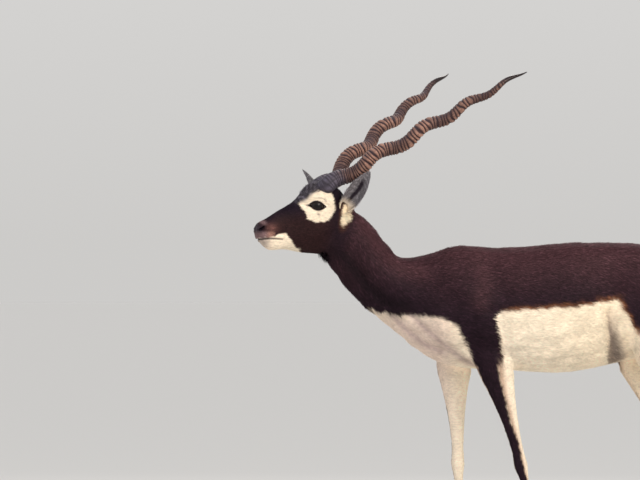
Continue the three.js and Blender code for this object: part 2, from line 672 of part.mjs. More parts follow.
for (const [word, side] of [["left", -1], ["right", 1]]) {
  add(`${word}_horn`, horn(side).subtract(skull(GAP)), "horn");
  add(`${word}_eye`, eyeball(side, EYE.radius), "eye");
  add(`${word}_ear`, ear(EARS[word]).subtract(skull(GAP)), "coat");
}

for (const [name, { joints, side, parts, sections }] of Object.entries(LEGS)) {
  const own = beyond(vector(0, 0, 0), vector(0, side, 0), GAP / 2);
  const whole = limb(joints, sections, side, LEG_STEPS, LEG_POINTS);
  const [fetlock, foot] = joints.slice(-2).map(([x, y, z]) => vector(x, y * side, z));
  if (parts.shank) {
    const thigh = body.intersect(allOf(thighPlanes(side), GAP / 2)).intersect(own);
    add(`${name}_thigh`, thigh.intersect(beyond(...level(parts.shank[0], true), GAP / 2)), "coat");
  }
  for (const [part, [top, bottom]] of Object.entries(parts)) {
    const floor = part === "pastern" ? CLAW.top + GAP / 2 : bottom;
    let piece = whole.intersect(allOf([level(top, false), level(floor, true)], GAP / 2));
    if (part === "pastern") for (const nub of dewclaws(fetlock)) piece = piece.add(nub);
    add(`${name}_${part}`, piece, "coat");
  }
  add(`${name}_outer_hoof`, claw(foot, side), "hoof");
  add(`${name}_inner_hoof`, claw(foot, -side), "hoof");
}

// The origin is on the floor below the middle of the whole.
const box = new THREE.Box3().setFromObject(group);
const middle = box.getCenter(vector(0, 0, 0));
group.position.set(-middle.x, -middle.y, -box.min.z);

export default group;
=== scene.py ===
"""A life-size male blackbuck: skin, short coat, corkscrew horns, eyes, ears and hooves round the solids.

Metres, +Z up. The animal faces -X and turns its head to its left, towards -Y. Places on the body are
given in the body's own frame, whose origin lies under the withers, and places on the head in the head's
frame: x from nose to nape, y to the animal's right, z up, with the origin between the horns. A line or an
outline drawn on the animal is a list of points (x, z) of its side view.
"""

import math

import bpy
import numpy as np
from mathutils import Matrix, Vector
from mathutils.bvhtree import BVHTree


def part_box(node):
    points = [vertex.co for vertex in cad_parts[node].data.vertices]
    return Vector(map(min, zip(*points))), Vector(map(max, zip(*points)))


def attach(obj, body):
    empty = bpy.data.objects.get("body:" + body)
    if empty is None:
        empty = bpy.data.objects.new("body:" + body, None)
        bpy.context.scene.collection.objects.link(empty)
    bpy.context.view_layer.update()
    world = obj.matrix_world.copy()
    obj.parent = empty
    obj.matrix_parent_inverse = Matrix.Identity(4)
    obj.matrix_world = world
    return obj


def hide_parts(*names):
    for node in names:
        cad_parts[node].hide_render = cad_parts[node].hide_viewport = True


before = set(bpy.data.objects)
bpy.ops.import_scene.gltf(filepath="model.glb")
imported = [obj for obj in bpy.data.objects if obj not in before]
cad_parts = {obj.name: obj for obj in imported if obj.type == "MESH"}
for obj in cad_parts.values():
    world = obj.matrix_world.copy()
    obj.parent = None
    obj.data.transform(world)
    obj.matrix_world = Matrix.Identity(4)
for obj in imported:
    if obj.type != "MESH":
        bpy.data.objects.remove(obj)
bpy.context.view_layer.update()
bpy.ops.object.select_all(action="DESELECT")
hair_draw = np.random.default_rng(41)

# Driving sizes
HEAD_IN_BODY = np.array([-0.380, -0.028, 0.948])
EYE_IN_HEAD = np.array([-0.035, 0.026, -0.054])
EYE_RADIUS = 0.019
EYE_AHEAD = math.radians(18)
EYE_TILT = math.radians(6)  # the front corner lies higher than the rear one
LID_LENGTH = 0.0425
LID_UP = 0.0100
LID_DOWN = 0.0090
LID_THICK = 0.0016
SKIN_VOXEL = 0.003
BASE_VOXEL = 0.0056
SKIN_SMOOTHING = 9
SKIN_GROWTH = 0.0004
COAT_DEPTH = {"body": 0.0035, "leg": 0.0016, "head": 0.0012}
COAT_LENGTH = {"body": 0.0125, "leg": 0.0075, "head": 0.0052}
COAT_WIDTH = {"body": 0.0021, "leg": 0.0015, "head": 0.0011}
COAT_TUFTS = {"body": 165000, "leg": 330000, "head": 900000}  # to a square metre
EAR_TUFTS = 700000.0

FLESH = [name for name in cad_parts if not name.endswith(("_horn", "_hoof", "_eye", "_ear"))]
SIDES = {"left": -1, "right": 1}


# Frames


def middle_of(node):
    low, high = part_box(node)
    return (np.array(low) + np.array(high)) / 2


LEFT_EYE, RIGHT_EYE = middle_of("left_eye"), middle_of("right_eye")
HEAD_Y = (RIGHT_EYE - LEFT_EYE) / np.linalg.norm(RIGHT_EYE - LEFT_EYE)
HEAD_Z = np.array([0.0, 0.0, 1.0])
HEAD_X = np.cross(HEAD_Y, HEAD_Z)
HEAD_ORIGIN = (LEFT_EYE + RIGHT_EYE) / 2 - EYE_IN_HEAD[0] * HEAD_X - EYE_IN_HEAD[2] * HEAD_Z
BODY_ORIGIN = HEAD_ORIGIN - HEAD_IN_BODY
HEAD_AXES = np.stack([HEAD_X, HEAD_Y, HEAD_Z])


def to_head(points):
    return (points - HEAD_ORIGIN) @ HEAD_AXES.T


def from_head(points):
    return np.asarray(points) @ HEAD_AXES + HEAD_ORIGIN


def to_body(points):
    return points - BODY_ORIGIN


def eye_axes(side):
    """Rows: towards the front corner, upwards, outwards, in the world's axes."""
    look = np.array([-math.sin(EYE_AHEAD), side * math.cos(EYE_AHEAD), 0.0])
    forward = np.array([-math.cos(EYE_AHEAD), -side * math.sin(EYE_AHEAD), 0.0])
    front = forward * math.cos(EYE_TILT) + np.array([0, 0, math.sin(EYE_TILT)])
    up = side * np.cross(look, front)
    return np.stack([front, up, look]) @ HEAD_AXES


def eye_centre(side):
    return from_head(EYE_IN_HEAD * np.array([1, side, 1]))


def to_eye(points, side):
    return (points - eye_centre(side)) @ eye_axes(side).T


# Mesh helpers


def only(obj):
    bpy.ops.object.select_all(action="DESELECT")
    obj.select_set(True)
    bpy.context.view_layer.objects.active = obj
    return obj


def edit(obj, *steps):
    """Runs edit mode steps on the whole mesh."""
    only(obj)
    bpy.ops.object.mode_set(mode="EDIT")
    bpy.ops.mesh.select_all(action="SELECT")
    for step in steps:
        step()
    bpy.ops.object.mode_set(mode="OBJECT")


def face_outwards():
    bpy.ops.mesh.normals_make_consistent(inside=False)


def copy_of(names, new_name):
    """The named solids as one new object, each closed surface merged."""
    bpy.ops.object.select_all(action="DESELECT")
    for name in names:
        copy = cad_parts[name].copy()
        copy.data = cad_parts[name].data.copy()
        copy.parent = None
        copy.matrix_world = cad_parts[name].matrix_world.copy()
        bpy.context.scene.collection.objects.link(copy)
        copy.select_set(True)
        if name == names[0]:
            bpy.context.view_layer.objects.active = copy
    if len(names) > 1:
        bpy.ops.object.join()
    joined = bpy.context.view_layer.objects.active
    joined.name = joined.data.name = new_name
    joined.data.materials.clear()
    bpy.ops.object.transform_apply(location=True, rotation=True, scale=True)
    edit(joined, lambda: bpy.ops.mesh.remove_doubles(threshold=1e-5))
    return joined


def apply_modifier(obj, kind, **values):
    only(obj)
    modifier = obj.modifiers.new(kind.lower(), kind)
    for key, value in values.items():
        setattr(modifier, key, value)
    bpy.ops.object.modifier_apply(modifier=modifier.name)


def rows_of(items, key):
    flat = np.empty(len(items) * 3, dtype=np.float32)
    items.foreach_get(key, flat)
    return flat.reshape(-1, 3).astype(float)


def points_of(mesh):
    return rows_of(mesh.vertices, "co")


def normals_of(mesh):
    return rows_of(mesh.vertices, "normal")


def set_points(mesh, points):
    mesh.vertices.foreach_set("co", np.asarray(points, dtype=np.float32).ravel())
    mesh.update()


def smooth_shaded(obj):
    only(obj)
    bpy.ops.object.shade_smooth()
    return obj


def unit_rows(rows):
    return rows / np.maximum(np.linalg.norm(rows, axis=1), 1e-9)[:, None]


# Soft edges, spots, strokes and distances


def smoothstep(low, high, value):
    t = np.clip((value - low) / (high - low), 0, 1)
    return t * t * (3 - 2 * t)


def mix(first, second, share):
    return first + (second - first) * share[:, None]


def wander(points, size, seed):
    """Smooth made-up unevenness, mostly between -1 and 1, with forms of about the given size."""
    draw = np.random.default_rng(seed)
    total = np.zeros(len(points))
    for _ in range(6):
        direction = draw.normal(size=3)
        direction *= 2 * math.pi / (size * draw.uniform(0.8, 1.9) * np.linalg.norm(direction))
        total += np.sin(points @ direction + draw.uniform(0, 2 * math.pi))
    return total / 3.2


def peak(value, width, middle=0.0):
    return np.exp(-(((value - middle) / width) ** 2))


def spot(x, z, place, size):
    return np.exp(-(((x - place[0]) / size[0]) ** 2) - (((z - place[1]) / size[1]) ** 2))


def from_segment(x, z, start, end):
    """Distance of points (x, z) from a straight stretch, and a value that is positive on its left."""
    dx, dz = end[0] - start[0], end[1] - start[1]
    share = np.clip(((x - start[0]) * dx + (z - start[1]) * dz) / (dx * dx + dz * dz), 0, 1)
    away = np.hypot(x - start[0] - share * dx, z - start[1] - share * dz)
    return away, dx * (z - start[1]) - dz * (x - start[0])


def from_line(x, z, line):
    """Distance of points (x, z) from a line, positive on its left."""
    best = np.full(len(x), 1e9)
    side = np.ones(len(x))
    for start, end in zip(line[:-1], line[1:]):
        away, left = from_segment(x, z, start, end)
        nearer = away < best - 1e-9
        best = np.where(nearer, away, best)
        side = np.where(nearer, np.sign(left), side)
    return best * side


def stroke(x, z, line, width):
    return peak(from_line(x, z, line), width)


def inside(x, z, outline):
    """Distance from a closed outline, positive inside."""
    away = np.full(len(x), 1e9)
    crossings = np.zeros(len(x), dtype=int)
    for start, end in zip(outline, outline[1:] + outline[:1]):
        away = np.minimum(away, from_segment(x, z, start, end)[0])
        (ax, az), (bx, bz) = start, end
        if az != bz:
            crossings += ((az > z) != (bz > z)) & (x < (bx - ax) * (z - az) / (bz - az) + ax)
    return np.where(crossings % 2 == 1, away, -away)


# Legs, at each joint from the hoof up: x, distance from the middle plane, height, half the leg's depth

LEG_X = {
    "left_foreleg": (0.114, 0.138, 0.099, 0.056, 0.038, 0.000),
    "right_foreleg": (-0.072, -0.048, -0.052, -0.056, -0.060, -0.026),
    "left_hindleg": (0.562, 0.586, 0.555, 0.490, 0.434, 0.465),
    "right_hindleg": (0.438, 0.462, 0.473, 0.424, 0.382, 0.465),
}
LEG_HEIGHT = {
    "left_foreleg": (0.000, 0.078, 0.262, 0.430, 0.505, 0.610),
    "right_foreleg": (0.000, 0.078, 0.262, 0.430, 0.508, 0.610),
    "left_hindleg": (0.000, 0.078, 0.300, 0.415, 0.522, 0.705),
    "right_hindleg": (0.000, 0.078, 0.298, 0.415, 0.524, 0.705),
}
LEG_APART = {
    "foreleg": (0.051, 0.052, 0.057, 0.061, 0.062, 0.050),
    "hindleg": (0.048, 0.049, 0.054, 0.062, 0.070, 0.052),
}
LEG_DEPTH = {
    "foreleg": (0.018, 0.015, 0.018, 0.029, 0.048, 0.050),
    "hindleg": (0.018, 0.015, 0.021, 0.034, 0.064, 0.080),
}
FETLOCK = 1
CLAW_BEHIND = 0.017
CLAW_APART = 0.009
CLAW_BELOW = 0.012


def side_of(name):
    return SIDES[name.split("_")[0]]


def leg_line(name, height):
    """A leg's x, distance from the middle plane and half depth at each height."""
    kind = name.split("_")[1]
    rows = (LEG_X[name], LEG_APART[kind], LEG_DEPTH[kind])
    return (np.interp(height, LEG_HEIGHT[name], row) for row in rows)


def leg_place(body, name):
    """How far points lie behind the leg's line and how far outwards, in half depths."""
    x, y, deep = leg_line(name, body[:, 2])
    return (body[:, 0] - x) / deep, (body[:, 1] * side_of(name) - y) / deep


def nearest_leg(body):
    """The name of the leg whose line runs closest to each point."""
    away = []
    for name in LEG_X:
        x, y, _ = leg_line(name, body[:, 2])
        away.append(np.hypot(body[:, 0] - x, body[:, 1] - side_of(name) * y))
    return np.array(list(LEG_X))[np.argmin(away, axis=0)]


def dewclaw(body):
    """1 on the two small claws behind each fetlock."""
    share = np.zeros(len(body))
    for name in LEG_X:
        height = LEG_HEIGHT[name][FETLOCK]
        x, y, _ = leg_line(name, height)
        for apart in (-CLAW_APART, CLAW_APART):
            middle = np.array([x + CLAW_BEHIND, y * side_of(name) + apart, height - CLAW_BELOW])
            share = np.maximum(share, smoothstep(0.0085, 0.0065, np.linalg.norm(body - middle, axis=1)))
    return share


# Regions of the coat


def head_share(body):
    """1 on the head, 0 behind the jaw."""
    head = to_head(body + BODY_ORIGIN)
    along = head[:, 0] * 0.86 - head[:, 2] * 0.32
    return 1 - smoothstep(0.052, 0.085, along)


def leg_share(body):
    return 1 - smoothstep(0.44, 0.54, body[:, 2])


def tail_share(body):
    return smoothstep(0.535, 0.55, body[:, 0]) * smoothstep(0.56, 0.60, body[:, 2])


def by_region(sizes, body):
    """A size at each point, from the sizes on body, leg and head."""
    size = sizes["body"] + (sizes["leg"] - sizes["body"]) * leg_share(body)
    return size + (sizes["head"] - size) * head_share(body)


# Markings, and painted light and shade

DARK = np.array([0.0168, 0.0072, 0.0128])
# Brown painted on the dark coat as a highlight, where light from above falls
DARK_HIGHLIGHT = np.array([0.070, 0.0290, 0.0345])
RUST = np.array([0.30, 0.115, 0.045])
WHITE = np.array([0.97, 0.82, 0.65])
CREAM = np.array([0.94, 0.77, 0.55])
# Painted shade: mauve grey for the white front of the chest
CHEST_IN_SHADE = np.array([0.66, 0.49, 0.46])
CHEST_SHADE = np.array([0.36, 0.27, 0.27])
FLANK_SHADE = np.array([0.12, 0.085, 0.075])
FACE_BLACK = np.array([0.0115, 0.0060, 0.0125])
CHEEK_RED = np.array([0.20, 0.085, 0.070])
LIP_RUST = np.array([0.36, 0.19, 0.145])
CHIN_GREY = np.array([0.42, 0.34, 0.31])
NOSE = np.array([0.030, 0.018, 0.026])
HOOF = np.array([0.016, 0.013, 0.014])
HOOF_EDGE = np.array([0.11, 0.085, 0.07])
MAUVE = np.array([0.26, 0.16, 0.165])
FORELOCK = np.array([0.085, 0.075, 0.092])
EAR_GREY = np.array([0.150, 0.138, 0.150])

# The lower edge of the dark coat on the side, from the throat to the front of the foreleg
CHEST_EDGE = [(-0.330, 0.655), (-0.282, 0.649), (-0.250, 0.635), (-0.149, 0.630), (-0.098, 0.626)]
CHEST_EDGE += [(-0.061, 0.600), (-0.040, 0.561), (-0.020, 0.517), (-0.015, 0.470)]
# The edge of the white from the back of the foreleg along the flank to the front of the thigh
FLANK_EDGE = [(0.058, 0.470), (0.054, 0.520), (0.040, 0.575), (0.030, 0.625), (0.060, 0.641)]
FLANK_EDGE += [(0.147, 0.645), (0.240, 0.654), (0.300, 0.664), (0.332, 0.668), (0.352, 0.632)]
FLANK_EDGE += [(0.372, 0.596), (0.400, 0.560), (0.430, 0.535)]
NECK_GROOVE = [(-0.365, 0.805), (-0.345, 0.785), (-0.3136, 0.745)]
NECK_GROOVE += [(-0.275, 0.695), (-0.235, 0.665), (-0.190, 0.655)]
NECK_CREST = [(-0.300, 0.880), (-0.270, 0.830), (-0.235, 0.780), (-0.195, 0.745), (-0.150, 0.735)]
BLADE_EDGE = [(-0.010, 0.780), (0.005, 0.720), (-0.005, 0.660)]
CHEST_FOLDS = [
    [(-0.175, 0.632), (-0.140, 0.598), (-0.100, 0.562), (-0.050, 0.524), (-0.010, 0.500)],
    [(-0.215, 0.626), (-0.180, 0.590), (-0.140, 0.558), (-0.095, 0.538)],
]
GROIN_FOLD = [(0.312, 0.634), (0.316, 0.580), (0.324, 0.530), (0.334, 0.500)]
GROIN_SHADE = [(0.290, 0.650), (0.290, 0.470), (0.352, 0.470)]
GROIN_SHADE += [(0.360, 0.530), (0.340, 0.590), (0.318, 0.650)]
BELLY_END = 0.306
TAIL_EDGE = ([0.588, 0.612, 0.672, 0.728, 0.750], [0.571, 0.574, 0.577, 0.562, 0.522])  # x at each height

EYE_RING = [(-0.087, -0.044), (-0.080, -0.057), (-0.071, -0.066), (-0.067, -0.085), (-0.043, -0.094)]
EYE_RING += [(-0.015, -0.090), (0.001, -0.078), (0.006, -0.056), (0.001, -0.026), (-0.008, -0.010)]
EYE_RING += [(-0.024, -0.004), (-0.040, -0.010), (-0.062, -0.024)]
MUZZLE_WHITE = [(-0.200, -0.1350), (-0.178, -0.1325), (-0.163, -0.1300), (-0.149, -0.1260)]
MUZZLE_WHITE += [(-0.135, -0.1215), (-0.113, -0.1215), (-0.102, -0.137), (-0.090, -0.151)]
MUZZLE_WHITE += [(-0.065, -0.166), (-0.060, -0.190), (-0.200, -0.190)]
MOUTH_LINE = [(-0.196, -0.1375), (-0.180, -0.1355), (-0.160, -0.1335), (-0.145, -0.1340), (-0.122, -0.1355)]
CHEEK_PATCH = ((-0.155, -0.108), (0.015, 0.011))
BRIDGE_PATCH = ((-0.172, -0.094), (0.007, 0.006))
NOSTRIL = (-0.1775, -0.1085)
NOSTRIL_SLANT = math.radians(38)

# In the eye's frame, as points (towards the front corner, upwards)
BROW_CREASE = [(-0.001, 0.0200), (-0.009, 0.0205), (-0.016, 0.0175), (-0.020, 0.0125)]
TEAR_CORNER = ((0.0235, -0.001), (0.0045, 0.0026))
TEAR_GLAND = ((0.029, -0.002), (0.008, 0.0028))
MOLE = ((-0.004, -0.0195), (0.0024, 0.0024))


def dark_coat(points, x, z):
    """Near black below, with brown painted as the highlight of light from above on the back, along the
    neck's crest and on the shoulder blade's edge, and painted shade in the neck's groove.
    """
    height = z + 0.012 * wander(points, 0.16, 4)
    # Painted highlight: the back lighter where light from above falls, less on the neck
    lit_from_above = smoothstep(0.62, 0.80, height) * (0.40 + 0.45 * smoothstep(-0.24, -0.06, x))
    colour = mix(DARK, DARK_HIGHLIGHT, lit_from_above)
    # Painted highlight along the neck's crest and the shoulder blade's edge
    ridge_highlight = np.clip(stroke(x, z, NECK_CREST, 0.022) + stroke(x, z, BLADE_EDGE, 0.022) * 0.7, 0, 1)
    colour = mix(colour, DARK_HIGHLIGHT * 1.1, ridge_highlight * 0.7)
    # Painted shade in the neck's groove
    return mix(colour, DARK * 0.45, stroke(x, z, NECK_GROOVE, 0.016) * 0.8)


def underside_colour(x, wide, z, ragged):
    """White, creamier along the belly, with painted shade in the folds of the chest, in front of the thigh
    and over the front of the chest.
    """
    colour = mix(WHITE, CREAM, smoothstep(0.10, 0.32, x) * 0.45)
    for fold in CHEST_FOLDS:
        colour = mix(colour, CHEST_SHADE, stroke(x, z, fold, 0.008) * smoothstep(0.020, 0.040, wide) * 0.62)
    crease = stroke(x, z, GROIN_FOLD, 0.010) * smoothstep(0.645, 0.62, z)
    behind_belly = smoothstep(-0.002, 0.004, x - BELLY_END - ragged)
    hollow = smoothstep(0.000, 0.026, inside(x, z, GROIN_SHADE)) * behind_belly
    shade = np.maximum(crease * 0.5, hollow) * smoothstep(0.005, 0.028, wide) * 0.85
    colour = mix(colour, FLANK_SHADE, shade)
    # Painted shade over the front of the chest
    return mix(colour, CHEST_IN_SHADE, smoothstep(-0.04, -0.12, x) * smoothstep(0.655, 0.60, z) * 0.45)


def trunk_colour(points, x, wide, z, underside, ragged):
    front = x < np.interp(z, [0.47, 0.56, 0.64], [0.020, 0.002, -0.030])
    below = np.where(front, -from_line(x, z, CHEST_EDGE), -from_line(x, z, FLANK_EDGE))
    under_chest = smoothstep(0.060, 0.035, wide) * (z < 0.56) * (x < 0.30)
    below = np.where(under_chest > 0, np.maximum(below, under_chest * 0.06 - 0.03), below)
    rusty = peak(below + ragged, 0.0065, -0.001) * (~front) * smoothstep(0.03, 0.09, x)
    dark = mix(dark_coat(points, x, z), RUST, rusty * 0.55)
    return mix(dark, underside, smoothstep(-0.004, 0.006, below + ragged))


def limb_colour(body, underside, ragged):
    """Dark on the outside of each leg, white on the inside, with rust between."""
    legs = nearest_leg(body)
    dark_side = np.zeros(len(body))
    for name in LEG_X:
        here = legs == name
        height = body[here, 2]
        behind, outward = (value[here] for value in leg_place(body, name))
        if "fore" in name:
            rear_edge = np.interp(height, [0.05, 0.26, 0.45], [0.40, 0.18, 0.02])
            dark_side[here] = np.minimum(outward * 1.3 - 0.05, rear_edge - behind + 0.1)
        else:
            front_edge = np.interp(height, [0.05, 0.30, 0.45, 0.56], [-0.95, -0.85, -0.62, -0.55])
            dark_side[here] = np.minimum(outward * 1.3 + 0.25 + 0.2 * behind, behind - front_edge)
    light = mix(underside, RUST, peak(dark_side, 0.22) * 0.55)
    return mix(light, DARK, smoothstep(-0.10, 0.16, dark_side + ragged * 30))


def body_colour(points):
    """The colour of neck, trunk, legs and tail, before any fleck or grain."""
    body = to_body(points)
    x, y, z = body.T
    wide = np.abs(y)
    ragged = 0.004 * wander(points, 0.030, 5) + 0.002 * wander(points, 0.009, 6)
    underside = underside_colour(x, wide, z, ragged)
    colour = trunk_colour(points, x, wide, z, underside, ragged)
    limbs = np.where(x > 0.25, smoothstep(0.60, 0.54, z), smoothstep(0.53, 0.49, z))
    colour = mix(colour, limb_colour(body, underside, ragged), limbs)
    rump_oval = np.hypot(y / 0.042, (z - 0.672) / 0.075) * 0.04 - 0.04
    colour = mix(colour, WHITE, smoothstep(0.012, -0.004, rump_oval) * (x > 0.50))
    tail = smoothstep(-0.004, 0.001, x - np.interp(z, *TAIL_EDGE)) * (x > 0.545) * (z > 0.575)
    tail *= smoothstep(0.60, 0.63, z + 0.3 * ragged) * smoothstep(0.020, 0.015, wide)
    return mix(mix(colour, DARK, tail), HOOF, dewclaw(body))


def nostril_place(x, z):
    """1 on the rim of the nostril's slanting comma, less inside it."""
    u = (x - NOSTRIL[0]) * math.cos(NOSTRIL_SLANT) + (z - NOSTRIL[1]) * math.sin(NOSTRIL_SLANT)
    v = -(x - NOSTRIL[0]) * math.sin(NOSTRIL_SLANT) + (z - NOSTRIL[1]) * math.cos(NOSTRIL_SLANT)
    return np.hypot(u / 0.0092, (v - 18 * u * u + 0.0008) / 0.0036)


def nose_pad(x, z):
    return smoothstep(-0.173, -0.180, x + 0.35 * (z + 0.118)) * smoothstep(-0.1320, -0.1290, z)


def with_cheek(colour, x, z):
    """Adds the cheek, the upper lip and the side of the bridge to the face's colour."""
    speck = smoothstep(-0.06, -0.10, z) * smoothstep(0.03, -0.04, x) * smoothstep(-0.16, -0.13, x)
    colour = mix(colour, RUST * 0.26, speck * 0.18)
    colour = mix(colour, CHEEK_RED, spot(x, z, *CHEEK_PATCH) * (0.55 + 0.4 * speck))
    lip_top = smoothstep(-0.113, -0.121, z) * smoothstep(-0.140, -0.155, x)
    colour = mix(colour, mix(LIP_RUST, MAUVE * 0.9, smoothstep(-0.155, -0.175, x)), lip_top * 0.85)
    return mix(colour, MAUVE, spot(x, z, *BRIDGE_PATCH) * 0.7)


def with_nose(colour, x, wide, z):
    """Adds the nose pad, and painted shade in the nostrils and along the line of the mouth."""
    colour = mix(colour, mix(NOSE, MAUVE * 0.6, smoothstep(-0.112, -0.126, z)), nose_pad(x, z))
    # Painted shade: the nostrils' openings near black
    pit = smoothstep(1.25, 0.8, nostril_place(x, z)) * smoothstep(0.006, 0.009, wide)
    colour = mix(colour, FACE_BLACK * 0.4, pit)
    # Painted shade in the slit between the lips
    lip_width = np.interp(x, [-0.180, -0.130], [0.0026, 0.0015])
    lip = stroke(x, z, MOUTH_LINE, lip_width) * smoothstep(-0.118, -0.124, x)
    return mix(colour, FACE_BLACK * 0.9, np.clip(lip * 1.1, 0, 0.85))


def forelock_grey(points, size, dark, light):
    """Grey hair in streaks."""
    streak = smoothstep(-0.2, 0.8, wander(points * np.array([1, 1, 0.4]), size, 10))
    return mix(FORELOCK * dark, FORELOCK * light, streak * 0.6)


def head_colour(points):
    x, y, z = to_head(points).T
    wide = np.abs(y)
    ragged = 0.0022 * wander(points, 0.014, 7) + 0.0010 * wander(points, 0.005, 8)
    colour = mix(DARK * 0.9, FACE_BLACK, smoothstep(-0.085, -0.055, z - 0.28 * (x + 0.10)))
    colour = with_cheek(colour, x, z)
    ring = smoothstep(-0.002, 0.0025, inside(x, z, EYE_RING) + ragged) * smoothstep(0.012, 0.020, wide)
    colour = mix(colour, WHITE, ring)
    chin = mix(WHITE, CHIN_GREY, smoothstep(-0.145, -0.172, x) * 0.75)
    colour = mix(colour, chin, smoothstep(-0.002, 0.003, inside(x, z, MUZZLE_WHITE) + ragged))
    lock = smoothstep(-0.096, -0.070, x) * smoothstep(0.020, 0.004, x) * smoothstep(0.033, 0.022, wide)
    lock *= smoothstep(-0.042, -0.028, z - 0.42 * (x + 0.05))
    colour = mix(colour, forelock_grey(points, 0.007, 0.55, 2.6), lock)
    low = z + 0.080
    behind_ear = np.hypot((x - 0.033 - 0.3 * low) / (0.0115 + 0.10 * low), (z + 0.074) / 0.027) + ragged * 50
    by_ear = smoothstep(0.015, 0.022, wide) * (x > 0.010)
    colour = mix(colour, RUST * 0.6, smoothstep(1.9, 1.0, behind_ear) * by_ear * 0.3)
    colour = mix(colour, CREAM, smoothstep(1.25, 0.80, behind_ear) * by_ear)
    return with_nose(colour, x, wide, z)


def coat_colour(points):
    colour = mix(body_colour(points), head_colour(points), head_share(to_body(points)))
    for side in SIDES.values():
        local = to_eye(points, side)
        forward, up, out = local.T
        # Painted shade in the crease above the eye
        crease = stroke(forward, up, BROW_CREASE, 0.0011) * (out > 0)
        colour = mix(colour, FACE_BLACK * 4, crease * 0.6)
        dark = smoothstep(0.0034, 0.0014, lid_edge(local)) * (out > 0)
        dark += spot(forward, up, *TEAR_CORNER) * (out > 0)
        if side == SIDES["left"]:
            dark += spot(forward, up, *MOLE) * 0.8
        colour = mix(colour, FACE_BLACK, np.clip(dark, 0, 1))
    return colour


def lid_edge(local):
    """Distance outwards from the opening between the lids, in the eye's frame: negative inside it."""
    along, up = local[:, 0], local[:, 1]
    half = LID_LENGTH / 2
    lean = np.where(up > 0, 0.0015, -0.0015) * (1 - (along / half) ** 2)
    share = 1 - np.abs((along - lean) / half) ** 1.8
    height = np.where(up > 0, LID_UP, LID_DOWN) * np.clip(share, 0, 1)
    ends = np.abs(along) - half
    return np.where(ends > 0, np.hypot(ends, up), (np.abs(up) - height) * 0.85)


# Skin

# Folds and muscles of the trunk: a line, its width and its height
TRUNK_RELIEF = [
    ([(-0.322, 0.780), (-0.300, 0.735), (-0.270, 0.690), (-0.235, 0.655)], 0.019, -0.0075),
    ([(-0.275, 0.790), (-0.252, 0.750), (-0.215, 0.710), (-0.170, 0.680)], 0.022, 0.0040),
    ([(-0.120, 0.640), (-0.095, 0.600), (-0.070, 0.560), (-0.050, 0.530)], 0.022, 0.0038),
    ([(0.030, 0.640), (0.042, 0.590), (0.056, 0.540), (0.068, 0.500)], 0.014, -0.0048),
    ([(-0.090, 0.745), (-0.045, 0.690), (-0.010, 0.650)], 0.026, 0.0042),
    ([(0.020, 0.760), (0.040, 0.700), (0.050, 0.650)], 0.024, -0.0038),
    (GROIN_FOLD, 0.012, -0.0095),
    (CHEST_FOLDS[0], 0.008, -0.0040),
    (CHEST_FOLDS[1], 0.009, -0.0032),
    ([(0.350, 0.660), (0.372, 0.600), (0.405, 0.555)], 0.020, 0.0045),
]


def closed_flesh(name, voxel, smoothing):
    """The whole flesh with the eyes in it, as one closed and smoothed surface."""
    flesh = copy_of(FLESH + ["left_eye", "right_eye"], name)
    edit(flesh, lambda: bpy.ops.transform.shrink_fatten(value=SKIN_GROWTH))
    apply_modifier(flesh, "REMESH", mode="VOXEL", voxel_size=voxel)
    apply_modifier(flesh, "SMOOTH", factor=0.5, iterations=smoothing)
    return flesh


def refine(obj, where):
    """Subdivides the faces whose middle the test accepts."""
    only(obj)
    mesh = obj.data
    chosen = where(rows_of(mesh.polygons, "center"))
    bpy.ops.object.mode_set(mode="EDIT")
    bpy.ops.mesh.select_mode(type="FACE")
    bpy.ops.mesh.select_all(action="DESELECT")
    bpy.ops.object.mode_set(mode="OBJECT")
    mesh.polygons.foreach_set("select", chosen)
    bpy.ops.object.mode_set(mode="EDIT")
    bpy.ops.mesh.subdivide(number_cuts=1, smoothness=0, quadcorner="INNERVERT")
    bpy.ops.object.mode_set(mode="OBJECT")


def near_eyes(points, reach):
    away = [np.linalg.norm(points - eye_centre(side), axis=1) for side in SIDES.values()]
    return np.minimum(*away) < reach


def on_face(points):
    return (head_share(to_body(points)) > 0.02) & (to_head(points)[:, 0] < 0.08)


def on_muzzle(points):
    return on_face(points) & (to_head(points)[:, 0] < -0.115)


def drawn_onto(points, target):
    tree = BVHTree.FromObject(target, bpy.context.evaluated_depsgraph_get())
    return np.array([tree.find_nearest(Vector(point))[0] for point in points])


def shape_eyes(points):
    """Lids that lie on the eyeball, with the skin sunk out of sight inside their opening."""
    for side in SIDES.values():
        local = to_eye(points, side)
        forward, up, out = local.T
        near = (np.hypot(forward, up) < 0.034) & (out > -0.006)
        ball = np.sqrt(np.clip(EYE_RADIUS**2 - forward**2 - up**2, 0, None))
        rim = lid_edge(local)
        opening = rim < 0
        lid = np.where(opening, ball - 0.004, ball + LID_THICK * smoothstep(0.0, 0.0012, rim))
        lowest = np.where(opening, -1, out - 0.0015)
        height = out + (np.maximum(lid, lowest) - out) * smoothstep(0.0125, 0.004, rim) * near
        fold = 0.0012 * stroke(forward, up, BROW_CREASE, 0.0014)
        fold += 0.0011 * peak(rim, 0.0014, 0.0062) * (up > 0)
        fold += 0.0022 * spot(forward, up, *TEAR_GLAND)
        local[:, 2] = np.where(near, height - fold, out)
        points = np.where(near[:, None], local @ eye_axes(side) + eye_centre(side), points)
    return points


